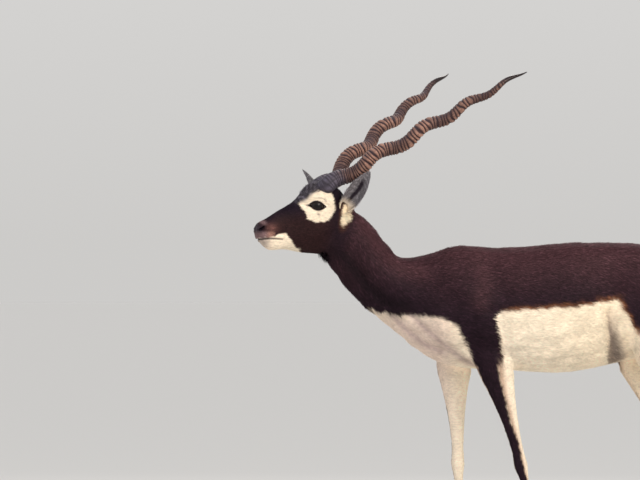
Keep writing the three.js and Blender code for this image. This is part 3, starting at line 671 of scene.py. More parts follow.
def face_relief(points):
    """Height of the lips, nostrils and other small forms of the head over the smooth skin."""
    x, y, z = to_head(points).T
    wide = np.abs(y)
    line = from_line(x, z, MOUTH_LINE)
    lips = 0.0011 * (peak(line, 0.0032, 0.005) + peak(line, 0.0030, -0.005)) - 0.0034 * peak(line, 0.0015)
    pit = nostril_place(x, z)
    nostril = 0.0012 * peak(pit, 0.45, 1.5) - 0.0055 * smoothstep(1.15, 0.55, pit)
    relief = lips * smoothstep(-0.114, -0.124, x) + nostril * smoothstep(0.006, 0.010, wide)
    relief -= 0.0016 * peak(wide, 0.0012) * smoothstep(-0.178, -0.183, x) * (z < -0.100)
    return relief * smoothstep(-0.060, -0.100, x)


def trunk_relief(points):
    x, y, z = to_body(points).T
    relief = 0.0012 * wander(points, 0.055, 21)
    for line, width, height in TRUNK_RELIEF:
        relief += height * stroke(x, z, line, width) * smoothstep(0.022, 0.045, np.abs(y))
    return relief * smoothstep(0.46, 0.52, z)


def make_skin():
    target = closed_flesh("target", SKIN_VOXEL, SKIN_SMOOTHING)
    skin = closed_flesh("skin", BASE_VOXEL, 3)
    refine(skin, on_face)
    refine(skin, lambda points: near_eyes(points, 0.036) | on_muzzle(points))
    refine(skin, lambda points: near_eyes(points, 0.028))
    set_points(skin.data, drawn_onto(points_of(skin.data), target))
    apply_modifier(skin, "SMOOTH", factor=0.5, iterations=2)
    points, normals = points_of(skin.data), normals_of(skin.data)
    body = to_body(points)
    relief = face_relief(points) * (head_share(body) > 0.5) + trunk_relief(points)
    relief -= by_region(COAT_DEPTH, body)
    set_points(skin.data, shape_eyes(points + normals * relief[:, None]))
    bpy.data.objects.remove(target)
    edit(skin, face_outwards)
    return smooth_shaded(skin)


def paint(obj, colour, gloss):
    """The colour and the gloss of each vertex, as attributes that the materials read."""
    mesh = obj.data
    rgba = np.concatenate([colour, np.ones((len(colour), 1))], axis=1)
    # The colour holds the markings and also the painted light and shade
    layer = mesh.color_attributes.new("ColourAndPaintedLight", "FLOAT_COLOR", "POINT")
    layer.data.foreach_set("color", rgba.astype(np.float32).ravel())
    shine = mesh.attributes.new("Gloss", "FLOAT", "POINT")
    shine.data.foreach_set("value", np.asarray(gloss, dtype=np.float32))


def wetness(points):
    """1 on the nose pad and round the eyes, 0 on hair."""
    x, y, z = to_head(points).T
    nostril = smoothstep(1.25, 0.9, nostril_place(x, z)) * smoothstep(0.006, 0.009, np.abs(y))
    wet = np.maximum(nose_pad(x, z), nostril)
    for side in SIDES.values():
        local = to_eye(points, side)
        wet = np.maximum(wet, smoothstep(0.0022, 0.0008, lid_edge(local)) * (local[:, 2] > 0))
    return wet * head_share(to_body(points))


# Materials

GRAIN_SCALE = 260.0
GRAIN_HEIGHT = 0.0015
CLOUD_SCALE = 22
CLOUD_TONES = (0.90, 1.08)
DRY_ROUGHNESS = 0.62
WET_ROUGHNESS = 0.24


def add_node(nodes, kind, **inputs):
    node = nodes.new("ShaderNode" + kind)
    for key, value in inputs.items():
        node.inputs[key.replace("_", " ")].default_value = value
    return node


def new_material(name):
    material = bpy.data.materials.new(name)
    material.use_nodes = True
    nodes, links = material.node_tree.nodes, material.node_tree.links
    nodes.clear()
    shader = add_node(nodes, "BsdfPrincipled")
    links.new(shader.outputs["BSDF"], add_node(nodes, "OutputMaterial").inputs["Surface"])
    return material, nodes, links, shader


def hair_grain_group():
    """Fine grain, stretched or squeezed as a material asks, and broad clouds, as two factors."""
    group = bpy.data.node_groups.new("hair_grain", "ShaderNodeTree")
    group.interface.new_socket(name="Stretch", in_out="INPUT", socket_type="NodeSocketVector")
    for name in ("Streak", "Cloud"):
        group.interface.new_socket(name=name, in_out="OUTPUT", socket_type="NodeSocketFloat")
    nodes, links = group.nodes, group.links
    inputs, outputs = nodes.new("NodeGroupInput"), nodes.new("NodeGroupOutput")
    place = add_node(nodes, "TexCoord").outputs["Object"]
    stretched = add_node(nodes, "VectorMath")
    stretched.operation = "MULTIPLY"
    links.new(place, stretched.inputs[0])
    links.new(inputs.outputs["Stretch"], stretched.inputs[1])
    streak = add_node(nodes, "TexNoise", Scale=GRAIN_SCALE, Detail=3)
    links.new(stretched.outputs[0], streak.inputs["Vector"])
    cloud = add_node(nodes, "TexNoise", Scale=CLOUD_SCALE, Detail=4)
    links.new(place, cloud.inputs["Vector"])
    links.new(streak.outputs["Fac"], outputs.inputs["Streak"])
    links.new(cloud.outputs["Fac"], outputs.inputs["Cloud"])
    return group


def map_range(nodes, links, source, **values):
    node = add_node(nodes, "MapRange", **values)
    links.new(source, node.inputs["Value"])
    return node.outputs["Result"]


def multiply(nodes, links, colour, grain, low, high):
    """Scales a colour by a grain whose middle range runs from low to high."""
    factor = map_range(nodes, links, grain, From_Min=0.3, From_Max=0.7, To_Min=low, To_Max=high)
    node = add_node(nodes, "VectorMath")
    node.operation = "SCALE"
    links.new(colour, node.inputs[0])
    links.new(factor, node.inputs["Scale"])
    return node.outputs[0]


def painted_material(name, grain, stretch, bump, sheen, streaks=(0.80, 1.18)):
    """Reads the painted colour, with its markings and its painted light and shade, and the gloss, and adds
    the grain to the colour and the height.
    """
    material, nodes, links, shader = new_material(name)
    colour_and_light, gloss = add_node(nodes, "Attribute"), add_node(nodes, "Attribute")
    colour_and_light.attribute_name = "ColourAndPaintedLight"
    gloss.attribute_name = "Gloss"
    hair = add_node(nodes, "Group")
    hair.node_tree = grain
    hair.inputs["Stretch"].default_value = stretch
    streak = hair.outputs["Streak"]
    fine = multiply(nodes, links, colour_and_light.outputs["Color"], streak, *streaks)
    broad = multiply(nodes, links, fine, hair.outputs["Cloud"], *CLOUD_TONES)
    links.new(broad, shader.inputs["Base Color"])
    rough = map_range(nodes, links, gloss.outputs["Fac"], To_Min=DRY_ROUGHNESS, To_Max=WET_ROUGHNESS)
    links.new(rough, shader.inputs["Roughness"])
    height = add_node(nodes, "Bump", Strength=bump, Distance=GRAIN_HEIGHT)
    links.new(streak, height.inputs["Height"])
    links.new(height.outputs["Normal"], shader.inputs["Normal"])
    shader.inputs["Specular IOR Level"].default_value = sheen
    return material


# Camera, light and floor

HORIZON = (0.66, 0.65, 0.635, 1)
SKY = (0.96, 0.955, 0.95, 1)
SKY_STRENGTH = 0.92
LAMP_AIM = Vector((-0.05, -0.1, 0.65))
LAMPS = (
    ("key", (2.4, -3.4, 3.0), 1.8, 120, (1.0, 0.91, 0.80)),
    ("fill", (-3.6, -2.6, 1.8), 2.6, 12, (0.93, 0.96, 1.0)),
    ("rim", (0.6, 3.2, 3.2), 2.0, 70, (1.0, 0.94, 0.88)),
)
PHOTO_SCALE = 0.00245  # metres to a pixel of the photo, at the middle of the body
PHOTO_WIDTH = 640
PHOTO_CENTRE = (320, 240)
PHOTO_WITHERS = (480, 571)  # the pixel of the body frame's origin
CAMERA_AWAY = 14.0


def make_floor():
    bpy.ops.mesh.primitive_circle_add(vertices=96, radius=60, fill_type="NGON", location=(0, 0, 0))
    floor = bpy.context.object
    floor.name = "floor"
    material, _, _, shader = new_material("pale_floor")
    shader.inputs["Base Color"].default_value = HORIZON
    shader.inputs["Roughness"].default_value = 0.85
    floor.data.materials.append(material)


def make_light():
    """A pale sky that meets the floor in one tone, and three soft lamps."""
    world = bpy.data.worlds.new("studio")
    world.use_nodes = True
    nodes, links = world.node_tree.nodes, world.node_tree.links
    background = nodes["Background"]
    direction = nodes.new("ShaderNodeTexCoord")
    height = nodes.new("ShaderNodeSeparateXYZ")
    links.new(direction.outputs["Generated"], height.inputs[0])
    blend = nodes.new("ShaderNodeValToRGB")
    for element, place, colour in zip(blend.color_ramp.elements, (0.0, 0.25), (HORIZON, SKY)):
        element.position = place
        element.color = colour
    links.new(height.outputs["Z"], blend.inputs["Fac"])
    links.new(blend.outputs["Color"], background.inputs["Color"])
    background.inputs["Strength"].default_value = SKY_STRENGTH
    bpy.context.scene.world = world
    for name, place, size, power, colour in LAMPS:
        light = bpy.data.lights.new(name, "AREA")
        light.energy = power
        light.size = size
        light.color = colour
        lamp = bpy.data.objects.new(name, light)
        lamp.location = place
        lamp.rotation_euler = (LAMP_AIM - Vector(place)).to_track_quat("-Z", "Y").to_euler()
        bpy.context.scene.collection.objects.link(lamp)


def make_camera():
    data = bpy.data.cameras.new("camera")
    camera = bpy.data.objects.new("camera", data)
    x = BODY_ORIGIN[0] + (PHOTO_CENTRE[0] - PHOTO_WITHERS[0]) * PHOTO_SCALE
    z = BODY_ORIGIN[2] + (PHOTO_WITHERS[1] - PHOTO_CENTRE[1]) * PHOTO_SCALE
    camera.location = (x, BODY_ORIGIN[1] - CAMERA_AWAY, z)
    camera.rotation_euler = (math.pi / 2, 0, 0)
    data.sensor_width = 36
    data.lens = data.sensor_width * CAMERA_AWAY / (PHOTO_WIDTH * PHOTO_SCALE)
    data.clip_end = 200
    bpy.context.scene.collection.objects.link(camera)
    bpy.context.scene.camera = camera


# Horns: t runs from 0 at the root to 1 at the tip

HORN_ROOT = np.array([-0.008, 0.026, -0.004])
HORN_TIP = np.array([0.442, 0.217, 0.277])
HORN_COIL = (0.0092, 0.0036)
HORN_TURNS = 3.566
HORN_QUICKEN = 5.83
HORN_SUNK = 0.030
HORN_RADII_AT = [0, 0.1, 0.25, 0.4, 0.52, 0.62, 0.71, 0.79, 0.86, 0.93, 1]
HORN_RADII = [0.0208, 0.0184, 0.0166, 0.0160, 0.0152, 0.0136, 0.0116, 0.0092, 0.0072, 0.0050, 0.0010]
HORN_RING_GAP = ([0, 0.12, 0.35, 0.6, 0.85, 1], [0.0058, 0.0066, 0.0090, 0.0108, 0.0084, 0.0084])
FAR_HORN_LOWER = 0.012  # how far the far horn's first bend lies below the near horn's mirror image
FAR_HORN_RAISED = 0.0040
FAR_HORN_LONGER = 0.007
HORN_SIDES = 32
HORN_STEPS = 620
HORN_LINE_STEPS = 1200
HORN_GREY = np.array([0.055, 0.048, 0.068])
HORN_DARK = np.array([0.034, 0.0165, 0.0190])
HORN_RIDGE_BROWN = np.array([0.36, 0.195, 0.145])
HORN_TIP_BLACK = np.array([0.020, 0.013, 0.014])


def horn_twist(t):
    return 2 * math.pi * HORN_TURNS * t + HORN_QUICKEN * t * t


def horn_line(side, t):
    """The middle of the horn: a corkscrew that starts inside the skull and narrows towards the tip."""
    along = (HORN_TIP - HORN_ROOT) * np.array([1, side, 1])
    toward = along / np.linalg.norm(along)
    up = np.array([0, 0, 1.0]) - toward[2] * toward
    up /= np.linalg.norm(up)
    outward = np.cross(toward, up)
    coil = np.interp(t, [0, 1], HORN_COIL) * np.clip(t / 0.08, 0, 1)
    line = HORN_ROOT * np.array([1, side, 1]) + t[:, None] * along
    line[:, 1] *= 1 + 12 * np.clip(t, None, 0)
    if side == SIDES["right"]:
        raised = FAR_HORN_RAISED * smoothstep(0.35, 0.60, t) - FAR_HORN_LOWER * peak(t, 0.10, 0.11)
        line += raised[:, None] * up + (FAR_HORN_LONGER * np.clip(t, 0, 1))[:, None] * toward
    twist = horn_twist(t)
    return line + (coil * np.cos(twist))[:, None] * up + (coil * np.sin(twist) * side)[:, None] * outward


def horn_colour(around, t, turn, ridge, marked, upper):
    """Brown on the tops of the rings of dark horn, a painted grey sheen on the upward side, grey near the
    root and black at the tip.
    """
    grain = 0.5 + 0.5 * np.sin(11 * around + 3 * np.sin(9 * t) + 2 * np.sin(5 * around))
    ridge_brown = smoothstep(0.45, 0.98, ridge) * (0.64 + 0.36 * np.cos(turn - 0.6)) * marked
    ridge_brown *= 0.65 + 0.35 * grain
    fading = 1 - 0.45 * smoothstep(0.45, 0.80, t)
    colour = mix(HORN_DARK, HORN_RIDGE_BROWN, np.clip(ridge_brown * 1.15, 0, 1) * fading)
    # Painted sheen: the upward-facing side of the horn lighter grey, as lit from above
    colour = mix(colour, HORN_GREY * 1.3, 0.35 * np.clip(upper, 0, 1) * (1 - 0.6 * ridge_brown))
    base = mix(HORN_GREY * 0.75, HORN_GREY * 2.0, smoothstep(0.5, 1, ridge) * grain)
    colour = mix(colour, base, smoothstep(0.125, 0.050, t + 0.012 * np.sin(2 * around)) * 0.85)
    return mix(colour, HORN_TIP_BLACK, smoothstep(0.86, 0.93, t))


def close_horn():
    """Sews the grid's edges into a tube and its tip into a point, and closes the root."""
    bpy.ops.mesh.remove_doubles(threshold=2e-5)
    bpy.ops.mesh.select_all(action="DESELECT")
    bpy.ops.mesh.select_mode(type="VERT")
    bpy.ops.mesh.select_non_manifold()
    bpy.ops.mesh.fill()
    bpy.ops.mesh.select_all(action="SELECT")
    face_outwards()


def make_horn(side, name):
    bpy.ops.mesh.primitive_grid_add(x_subdivisions=HORN_SIDES, y_subdivisions=HORN_STEPS, size=1)
    horn = bpy.context.object
    horn.name = horn.data.name = name
    flat = points_of(horn.data)
    around = (flat[:, 0] + 0.5) * 2 * math.pi
    t = -HORN_SUNK + (flat[:, 1] + 0.5) * (1 + HORN_SUNK)

    steps = np.linspace(-HORN_SUNK, 1, HORN_LINE_STEPS)
    line = horn_line(side, steps)
    tangent = unit_rows(np.gradient(line, axis=0))
    length = np.concatenate([[0], np.cumsum(np.linalg.norm(np.diff(line, axis=0), axis=1))])
    rings = np.concatenate([[0], np.cumsum(np.diff(length) / np.interp(steps[1:], *HORN_RING_GAP))])
    centre = np.stack([np.interp(t, steps, line[:, i]) for i in range(3)], axis=1)
    ahead = np.stack([np.interp(t, steps, tangent[:, i]) for i in range(3)], axis=1)
    count = np.interp(t, steps, rings)
    first = unit_rows(np.cross(ahead, np.array([0, 1.0, 0])))
    second = np.cross(ahead, first)

    turn = around - side * horn_twist(t)
    wobble = 0.20 * np.sin(around + 2.1 * count) + 0.12 * np.sin(2 * around - 1.3 * count + side)
    phase = (count + 0.30 * np.cos(turn) + wobble) % 1.0
    ridge = np.clip(np.sin(math.pi * phase**1.25), 0, 1) ** 0.62
    marked = smoothstep(0.012, 0.07, t) * smoothstep(0.93, 0.85, t)
    strength = (0.175 + 0.06 * np.cos(turn)) * marked
    uneven = 0.02 * np.sin(3 * around + 17 * t) + 0.012 * np.sin(5 * around - 41 * t)
    radius = np.interp(t, HORN_RADII_AT, HORN_RADII) * (1 + 8 * np.clip(t, None, 0))
    radius *= 1 + strength * (ridge - 0.62) + uneven * smoothstep(1, 0.9, t)
    radius = np.where(t > 0.99995, 0, radius)
    outwards = np.cos(around)[:, None] * first + np.sin(around)[:, None] * second
    set_points(horn.data, from_head(centre + radius[:, None] * outwards))
    colour = horn_colour(around, t, turn, ridge, marked, outwards[:, 2])
    paint(horn, colour, smoothstep(0.80, 0.90, t) * 0.8 + 0.2 * ridge)
    edit(horn, close_horn)
    return smooth_shaded(horn)


# Eyes

EYE_BROWN = np.array([0.012, 0.0062, 0.0050])
EYE_BLACK = np.array([0.0030, 0.0022, 0.0025])
EYE_EDGE = np.array([0.018, 0.011, 0.011])


def make_eye(side, name):
    """A slightly bulging ball with a dark brown iris and a wide pupil."""
    bpy.ops.mesh.primitive_uv_sphere_add(segments=64, ring_count=48, radius=1)
    eye = bpy.context.object
    eye.name = eye.data.name = name
    unit = unit_rows(points_of(eye.data))
    off_axis = np.arccos(np.clip(unit[:, 2], -1, 1))
    radius = EYE_RADIUS - 0.0001 + 0.0006 * np.exp(-((off_axis / 0.55) ** 4))
    set_points(eye.data, (unit * radius[:, None]) @ eye_axes(side) + eye_centre(side))
    pupil = np.hypot(unit[:, 0] / 0.42, unit[:, 1] / 0.20)
    iris = np.hypot(unit[:, 0], unit[:, 1]) / 0.72
    spokes = 0.5 + 0.5 * np.sin(40 * np.arctan2(unit[:, 1], unit[:, 0]))
    colour = mix(EYE_BROWN * 0.6, EYE_BROWN * 1.2, spokes * smoothstep(0.3, 0.9, iris))
    colour = mix(colour, EYE_BLACK, smoothstep(1.15, 0.9, pupil))
    colour = mix(colour, EYE_EDGE, smoothstep(0.98, 1.08, iris))
    paint(eye, colour, np.ones(len(unit)))
    edit(eye, face_outwards)
    return smooth_shaded(eye)


# Hooves and ears

HOOF_BEVEL = 0.0016
HOOF_RIB_GAP = 0.0042
HOOF_RIB_DEPTH = 0.00018
HOOF_LIFT = 0.0002
EAR_ROOT = {"left": [0.034, -0.036, -0.062], "right": [0.026, 0.037, -0.056]}
EAR_TIP = {"left": [0.076, -0.097, 0.030], "right": [-0.012, 0.104, 0.036]}
EAR_OPENS = {"left": [-0.35, -1, 0.1], "right": [-1, 0.35, -0.1]}


def make_hoof(node):
    hoof = copy_of([node], node.replace("_hoof", "_claw"))
    angle = math.radians(40)
    apply_modifier(hoof, "BEVEL", width=HOOF_BEVEL, segments=2, limit_method="ANGLE", angle_limit=angle)
    apply_modifier(hoof, "SUBSURF", levels=1, render_levels=1)
    points, normals = points_of(hoof.data), normals_of(hoof.data)
    points[:, 2] = np.clip(points[:, 2], HOOF_LIFT, None)
    height = points[:, 2].copy()
    ribs = np.sin(height * 2 * math.pi / HOOF_RIB_GAP + 1.5 * wander(points, 0.03, 31))
    tucked = 0.0016 * smoothstep(0.018, 0.030, height)
    points += normals * (HOOF_RIB_DEPTH * ribs * (height > 0.004) - tucked)[:, None]
    set_points(hoof.data, points)
    tone = 0.8 + 0.2 * ribs + 0.2 * wander(points, 0.012, 32)
    colour = mix(HOOF, HOOF_EDGE, smoothstep(0.007, 0.0, points[:, 2]) * 0.5)
    paint(hoof, colour * tone[:, None], 0.5 + 0.2 * ribs)
    only(hoof)
    bpy.ops.object.shade_smooth_by_angle(angle=math.radians(45))
    return hoof


def ear_place(points, side_name):
    """Share of the ear's length, place across it, and the way that the ear opens."""
    root, tip = np.array(EAR_ROOT[side_name]), np.array(EAR_TIP[side_name])
    opens = np.array(EAR_OPENS[side_name]) / np.linalg.norm(EAR_OPENS[side_name])
    long = np.linalg.norm(tip - root)
    axis = (tip - root) / long
    opens = opens - axis * (opens @ axis)
    opens /= np.linalg.norm(opens)
    head = to_head(points) - root
    return head @ axis / long, head @ np.cross(axis, opens), opens @ HEAD_AXES


def ear_colour(points, normals, side_name):
    """Grey, with a dark streak of hair down the hollow, painted darker also as the shade inside the cup, and
    cream at the root.
    """
    t, across, opens = ear_place(points, side_name)
    streaks = smoothstep(-0.3, 0.9, wander(points * np.array([2.5, 2.5, 0.6]), 0.012, 33))
    outer = mix(EAR_GREY * 0.55, DARK * 1.6, smoothstep(0.55, 0.1, t) * 0.5)
    inner = mix(EAR_GREY * 1.05, EAR_GREY * 1.9, streaks)
    # Dark hair down the hollow, painted near black also as the shade inside the cup
    hollow = peak(across + 0.002 * np.sin(9 * t), 0.0030 + 0.0045 * t)
    hollow *= smoothstep(0.10, 0.22, t) * smoothstep(0.88, 0.60, t)
    inner = mix(inner, FACE_BLACK, np.clip(hollow * 1.3, 0, 1) * 0.95)
    inner = mix(inner, WHITE, smoothstep(0.26, 0.08, t) * 0.75)
    colour = mix(outer, inner, smoothstep(-0.1, 0.4, normals @ opens))
    return mix(colour, CREAM, smoothstep(0.16, 0.02, t) * 0.7)


def make_ear(side_name):
    ear = copy_of([side_name + "_ear"], side_name + "_ear_shell")
    apply_modifier(ear, "SUBSURF", levels=2, render_levels=2)
    points, normals = points_of(ear.data), normals_of(ear.data)
    paint(ear, ear_colour(points, normals, side_name), np.zeros(len(points)))
    return smooth_shaded(ear)


# Coat: tufts that are rooted on a surface, each with its root's place on the surface's map

TUFTS_PER_PIECE = 64000
UV_PATCH = 0.003
TUFT_FACES = np.array([[0, 2, 3], [2, 1, 3], [1, 0, 3]])
TUFT_PATCH = UV_PATCH / 2 * np.array([[1.0, 0.0], [-0.5, 0.866], [-0.5, -0.866], [0.0, 0.0]])
LASHES = 46
LASH_ENDS = (-0.019, 0.017)


def unwrap(obj):
    """A map of the surface on which each tuft keeps the place of its root."""
    for layer in list(obj.data.uv_layers):
        obj.data.uv_layers.remove(layer)
    obj.data.uv_layers.new(name="OFBake")
    edit(obj, lambda: bpy.ops.uv.smart_project(angle_limit=math.radians(66), island_margin=0.002))


def surface_of(obj):
    """Points, normals, the corners of each triangle and their places on the map."""
    mesh = obj.data
    mesh.calc_loop_triangles()
    count = len(mesh.loop_triangles)
    corners = np.empty(count * 3, dtype=np.int32)
    loops = np.empty(count * 3, dtype=np.int32)
    mesh.loop_triangles.foreach_get("vertices", corners)
    mesh.loop_triangles.foreach_get("loops", loops)
    uv = np.empty(len(mesh.loops) * 2, dtype=np.float32)
    mesh.uv_layers["OFBake"].data.foreach_get("uv", uv)
    uv = uv.reshape(-1, 2)[loops.reshape(-1, 3)]
    return points_of(mesh), normals_of(mesh), corners.reshape(-1, 3), uv


def roots_at(surface, chosen, weight):
    """Places, normals and places on the map, inside the chosen triangles."""
    points, normals, corners, uv = surface
    rows = (points[corners[chosen]], normals[corners[chosen]], uv[chosen])
    place, normal, root_uv = (np.einsum("ni,nij->nj", weight, values) for values in rows)
    return place, unit_rows(normal), root_uv


def doubled_areas(points, corners):
    a, b, c = (points[corners[:, i]] for i in range(3))
    return np.linalg.norm(np.cross(b - a, c - a), axis=1)


def scatter(surface, density, draw):
    """Roots spread over the surface at the density, in tufts to a square metre, of each place."""
    points, _, corners, _ = surface
    middles = (points[corners[:, 0]] + points[corners[:, 1]] + points[corners[:, 2]]) / 3
    share = doubled_areas(points, corners) / 2 * density(middles)
    total = int(share.sum())
    chosen = draw.choice(len(share), size=total, p=share / share.sum())
    r, s = np.sqrt(draw.random(total)), draw.random(total)
    return roots_at(surface, chosen, np.stack([1 - r, r * (1 - s), r * s], axis=1))


def lie_of_coat(points):
    """The way that the hair lies: back from the nose, down the neck, back along the trunk, down the legs."""
    body = to_body(points)
    x, _, z = body.T
    trunk = np.stack([np.ones(len(x)), 0 * x, -0.35 - 0.5 * smoothstep(0.2, 0.5, x)], axis=1)
    flow = mix(trunk, np.array([0.55, 0.0, -0.85]), smoothstep(-0.10, -0.26, x))
    flow = mix(flow, np.array([0.12, 0.0, -1.0]), smoothstep(0.56, 0.48, z))
    flow = mix(flow, np.array([0.1, 0, -1]), tail_share(body))
    return mix(flow, np.array([1.0, 0.0, -0.25]) @ HEAD_AXES, head_share(body))


def add_tufts(name, roots, flow, colour, length, width, lift, draw):
    """One piece of three-sided pointed tufts, rooted under the skin, each with its own patch of the map."""
    place, normal, uv = roots
    count = len(place)
    flow = unit_rows(flow - normal * np.einsum("ij,ij->i", flow, normal)[:, None])
    stray = draw.normal(0, 0.16, count)
    along = unit_rows(flow + np.cross(normal, flow) * stray[:, None])
    cross = np.cross(normal, along)
    tip_way = along * np.cos(lift)[:, None] + normal * np.sin(lift)[:, None]
    sunk = place - normal * (0.35 * width)[:, None]
    spread = width[:, None] / 2
    vertices = np.empty((count, 4, 3))
    vertices[:, 0] = sunk + cross * spread
    vertices[:, 1] = sunk - cross * spread
    vertices[:, 2] = sunk + normal * spread + along * (0.8 * spread)
    vertices[:, 3] = sunk + tip_way * length[:, None]
    faces = np.arange(count)[:, None, None] * 4 + TUFT_FACES[None]
    mesh = bpy.data.meshes.new(name)
    mesh.vertices.add(count * 4)
    mesh.vertices.foreach_set("co", vertices.astype(np.float32).ravel())
    mesh.loops.add(count * 9)
    mesh.loops.foreach_set("vertex_index", faces.astype(np.int32).ravel())
    mesh.polygons.add(count * 3)
    mesh.polygons.foreach_set("loop_start", np.arange(count * 3, dtype=np.int32) * 3)
    layer = mesh.uv_layers.new(name="OFBake")
    corner_uv = (uv[:, None] + TUFT_PATCH[None])[:, TUFT_FACES]
    layer.data.foreach_set("uv", corner_uv.astype(np.float32).ravel())
    mesh.update(calc_edges=True)
    piece = bpy.data.objects.new(name, mesh)
    bpy.context.scene.collection.objects.link(piece)
    shade = np.repeat(colour, 4, axis=0)
    shade[3::4] *= 1.12
    paint(piece, np.clip(shade, 0, 1), np.zeros(count * 4))
    smooth_shaded(piece)
    spread_out = unit_rows(vertices - sunk[:, None]).reshape(-1, 3)
    leaning = unit_rows(np.repeat(normal, 4, axis=0) + 0.25 * spread_out)
    mesh.normals_split_custom_set_from_vertices(leaning.astype(np.float32))
    return piece


def coat_density(points):
    """Tufts to a square metre, none on the nose, the lids, the lips and the dewclaws."""
    body = to_body(points)
    x, _, z = to_head(points).T
    bare = (wetness(points) > 0.3) | (dewclaw(body) > 0.5)
    bare |= (np.abs(from_line(x, z, MOUTH_LINE)) < 0.0016) & (x < -0.120)
    for side in SIDES.values():
        local = to_eye(points, side)
        bare |= (lid_edge(local) < 0.0034) & (local[:, 2] > 0)
    return np.where(bare, 0.0, by_region(COAT_TUFTS, body))


def flecks(colour, draw):
    """A factor for each tuft: dark hair varies more than white hair."""
    light = smoothstep(0.1, 0.6, colour[:, 1])
    brown = (draw.random(len(colour)) < 0.16) * (1 - light)
    tone = (1 + draw.normal(0, 1, len(colour)) * (0.24 - 0.20 * light)).clip(0.5, 1.8)
    return tone + brown * draw.uniform(0.3, 1.3, len(colour))


def lock_of(name, skin, centre, spread, count, flow, length, width, lift, colour, draw):
    """A patch of longer hairs round a place on the skin."""
    surface = surface_of(skin)
    points, _, corners, _ = surface
    chosen = peak(np.linalg.norm(points[corners].mean(axis=1) - centre, axis=1), spread)
    chosen[chosen < 0.05] = 0
    share = chosen * doubled_areas(points, corners)
    pick = draw.choice(len(share), size=count, p=share / share.sum())
    roots = roots_at(surface, pick, draw.dirichlet([1, 1, 1], count))
    along = np.tile(flow, (count, 1)) + draw.normal(0, 0.15, (count, 3))
    lengths = length * draw.uniform(0.6, 1.1, count)
    lifts = np.radians(draw.uniform(lift * 0.6, lift * 1.4, count))
    shade = colour(roots[0]) * draw.normal(1, 0.18, count).clip(0.6, 1.5)[:, None]
    return add_tufts(name, roots, along, shade, lengths, np.full(count, width), lifts, draw)


def forehead_colour(points):
    return forelock_grey(points, 0.006, 0.5, 3.0)


def throat_colour(points):
    return np.tile(DARK * 0.8, (len(points), 1))


def ear_lock_colour(points):
    return np.tile(CREAM, (len(points), 1))


def make_locks(skin, draw):
    """Longer hair on the forehead, under the throat, at the end of the tail and below the ears."""
    back = HEAD_AXES[0] * 0.9 + np.array([0, 0, 0.15])
    down = np.array([0.25, 0, -1.0])
    tail_down = np.array([0.1, 0, -1.0])
    ear_down = HEAD_AXES[0] * 0.5 - np.array([0, 0, 0.9])
    forehead = from_head([-0.042, 0.0, -0.004])
    throat = from_head([0.000, 0.0, -0.170])
    tail = BODY_ORIGIN + np.array([0.573, 0.0, 0.605])
    locks = [
        ("forehead_lock", forehead, 0.020, 2200, back, 0.013, 0.0013, 22, forehead_colour),
        ("throat_lock", throat, 0.011, 500, down, 0.016, 0.0014, 45, throat_colour),
        ("tail_lock", tail, 0.028, 1600, tail_down, 0.030, 0.0018, 14, coat_colour),
    ]
    for side_name, side in SIDES.items():
        place = from_head(np.array(EAR_ROOT[side_name]) + np.array([0.004, side * 0.004, -0.018]))
        name = side_name + "_ear_lock"
        locks.append((name, place, 0.009, 260, ear_down, 0.010, 0.0011, 18, ear_lock_colour))
    return [lock_of(name, skin, *sizes, draw) for name, *sizes in locks]


def make_lashes(side, name, draw):
    """A sparse row of lashes along the upper lid."""
    along = np.linspace(*LASH_ENDS, LASHES) + draw.normal(0, 0.0003, LASHES)
    half = LID_LENGTH / 2
    up = LID_UP * (1 - np.abs(along / half) ** 1.8).clip(0, 1) + 0.0006
    ball = np.sqrt(EYE_RADIUS**2 - along**2 - up**2) + 0.6 * LID_THICK
    axes = eye_axes(side)
    place = np.stack([along, up, ball], axis=1) @ axes + eye_centre(side)
    flow = axes[1] * 0.8 + axes[0] * (along / half * 0.6)[:, None]
    length = draw.uniform(0.004, 0.0065, LASHES)
    uv = np.tile([0.5, 0.5], (LASHES, 1)) + draw.uniform(-0.01, 0.01, (LASHES, 2))
    roots = (place, unit_rows(place - eye_centre(side)), uv)
    colour = np.tile(FACE_BLACK, (LASHES, 1))
    return add_tufts(name, roots, flow, colour, length, np.full(LASHES, 0.0005), np.full(LASHES, 0.9), draw)


def make_ear_hair(ear, side_name, draw):
    """Fine hair over the ear, longer along its edges and inside the cup."""
    unwrap(ear)
    roots = scatter(surface_of(ear), lambda points: np.full(len(points), EAR_TUFTS), draw)
    place, normal, _ = roots
    count = len(place)
    t, across, opens = ear_place(place, side_name)
    axis = from_head(EAR_TIP[side_name]) - from_head(EAR_ROOT[side_name])
    colour = ear_colour(place, normal, side_name)
    colour *= flecks(colour, draw)[:, None]
    within = normal @ opens > 0.1
    length = np.where(within, 0.0065, 0.0035) * np.where((np.abs(across) > 0.012) & within, 1.5, 1.0)
    length *= draw.uniform(0.6, 1.2, count) * np.clip(1.25 - t, 0.35, 1)
    lift = np.radians(np.where(within, draw.uniform(12, 34, count), draw.uniform(5, 12, count)))
    sideways = np.cross(axis, opens) / np.linalg.norm(axis)
    flow = axis + 0.03 * (np.sign(across) * within)[:, None] * sideways
    width = np.full(count, 0.0009)
    return add_tufts(side_name + "_ear_hair", roots, flow, colour, length, width, lift, draw)


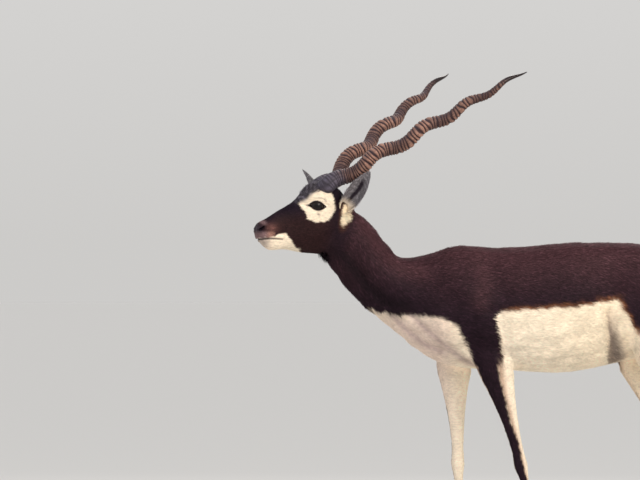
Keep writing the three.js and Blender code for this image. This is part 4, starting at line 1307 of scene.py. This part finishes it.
def make_coat(skin):
    """The short coat, in pieces from head to tail."""
    draw = np.random.default_rng(77)
    roots = scatter(surface_of(skin), coat_density, draw)
    place = roots[0]
    count = len(place)
    body = to_body(place)
    muzzle = smoothstep(-0.10, -0.15, to_head(place)[:, 0]) * head_share(body)
    length = by_region(COAT_LENGTH, body) * (1 - 0.4 * muzzle) * draw.uniform(0.7, 1.25, count)
    length *= 1 + 0.9 * tail_share(body)
    width = by_region(COAT_WIDTH, body) * (1 - 0.2 * muzzle) * draw.uniform(0.8, 1.2, count)
    colour = coat_colour(place)
    light = smoothstep(0.1, 0.6, colour[:, 1])
    lift = np.radians(draw.uniform(8, 20, count) * (1 - 0.45 * light))
    colour *= flecks(colour, draw)[:, None]
    flow = lie_of_coat(place)
    order = np.argsort(body[:, 0] + 0.001 * draw.random(count))
    pieces = []
    for number, start in enumerate(range(0, count, TUFTS_PER_PIECE)):
        part = order[start : start + TUFTS_PER_PIECE]
        rows = [values[part] for values in (flow, colour, length, width, lift)]
        pieces.append(add_tufts(f"coat_{number}", [values[part] for values in roots], *rows, draw))
    return pieces


# Put together

make_camera()
make_floor()
make_light()
bpy.context.scene.view_settings.view_transform = "Standard"
grain = hair_grain_group()
coat_look = painted_material("short_coat", grain, (0.35, 1.0, 1.0), 0.5, 0.12, (0.86, 1.14))
horn_look = painted_material("ringed_horn", grain, (1.0, 1.0, 1.0), 0.35, 0.22)
hoof_look = painted_material("dark_hoof", grain, (1.0, 1.0, 3.0), 0.15, 0.22)
eye_look = painted_material("wet_eye", grain, (1.0, 1.0, 1.0), 0.0, 0.22)


def dress(piece, look, replaced=()):
    piece.data.materials.clear()
    piece.data.materials.append(look)
    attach(piece, "root")
    if replaced:
        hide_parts(*replaced)


skin = make_skin()
skin_points = points_of(skin.data)
paint(skin, coat_colour(skin_points), wetness(skin_points))
unwrap(skin)
dress(skin, coat_look, FLESH)
for side_name, side in SIDES.items():
    dress(make_horn(side, side_name + "_ringed_horn"), horn_look, [side_name + "_horn"])
    dress(make_eye(side, side_name + "_eyeball"), eye_look, [side_name + "_eye"])
    dress(make_lashes(side, side_name + "_lashes", hair_draw), coat_look)
    ear = make_ear(side_name)
    dress(ear, coat_look, [side_name + "_ear"])
    dress(make_ear_hair(ear, side_name, hair_draw), coat_look)
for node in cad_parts:
    if node.endswith("_hoof"):
        dress(make_hoof(node), hoof_look, [node])
for piece in make_coat(skin) + make_locks(skin, hair_draw):
    dress(piece, coat_look)
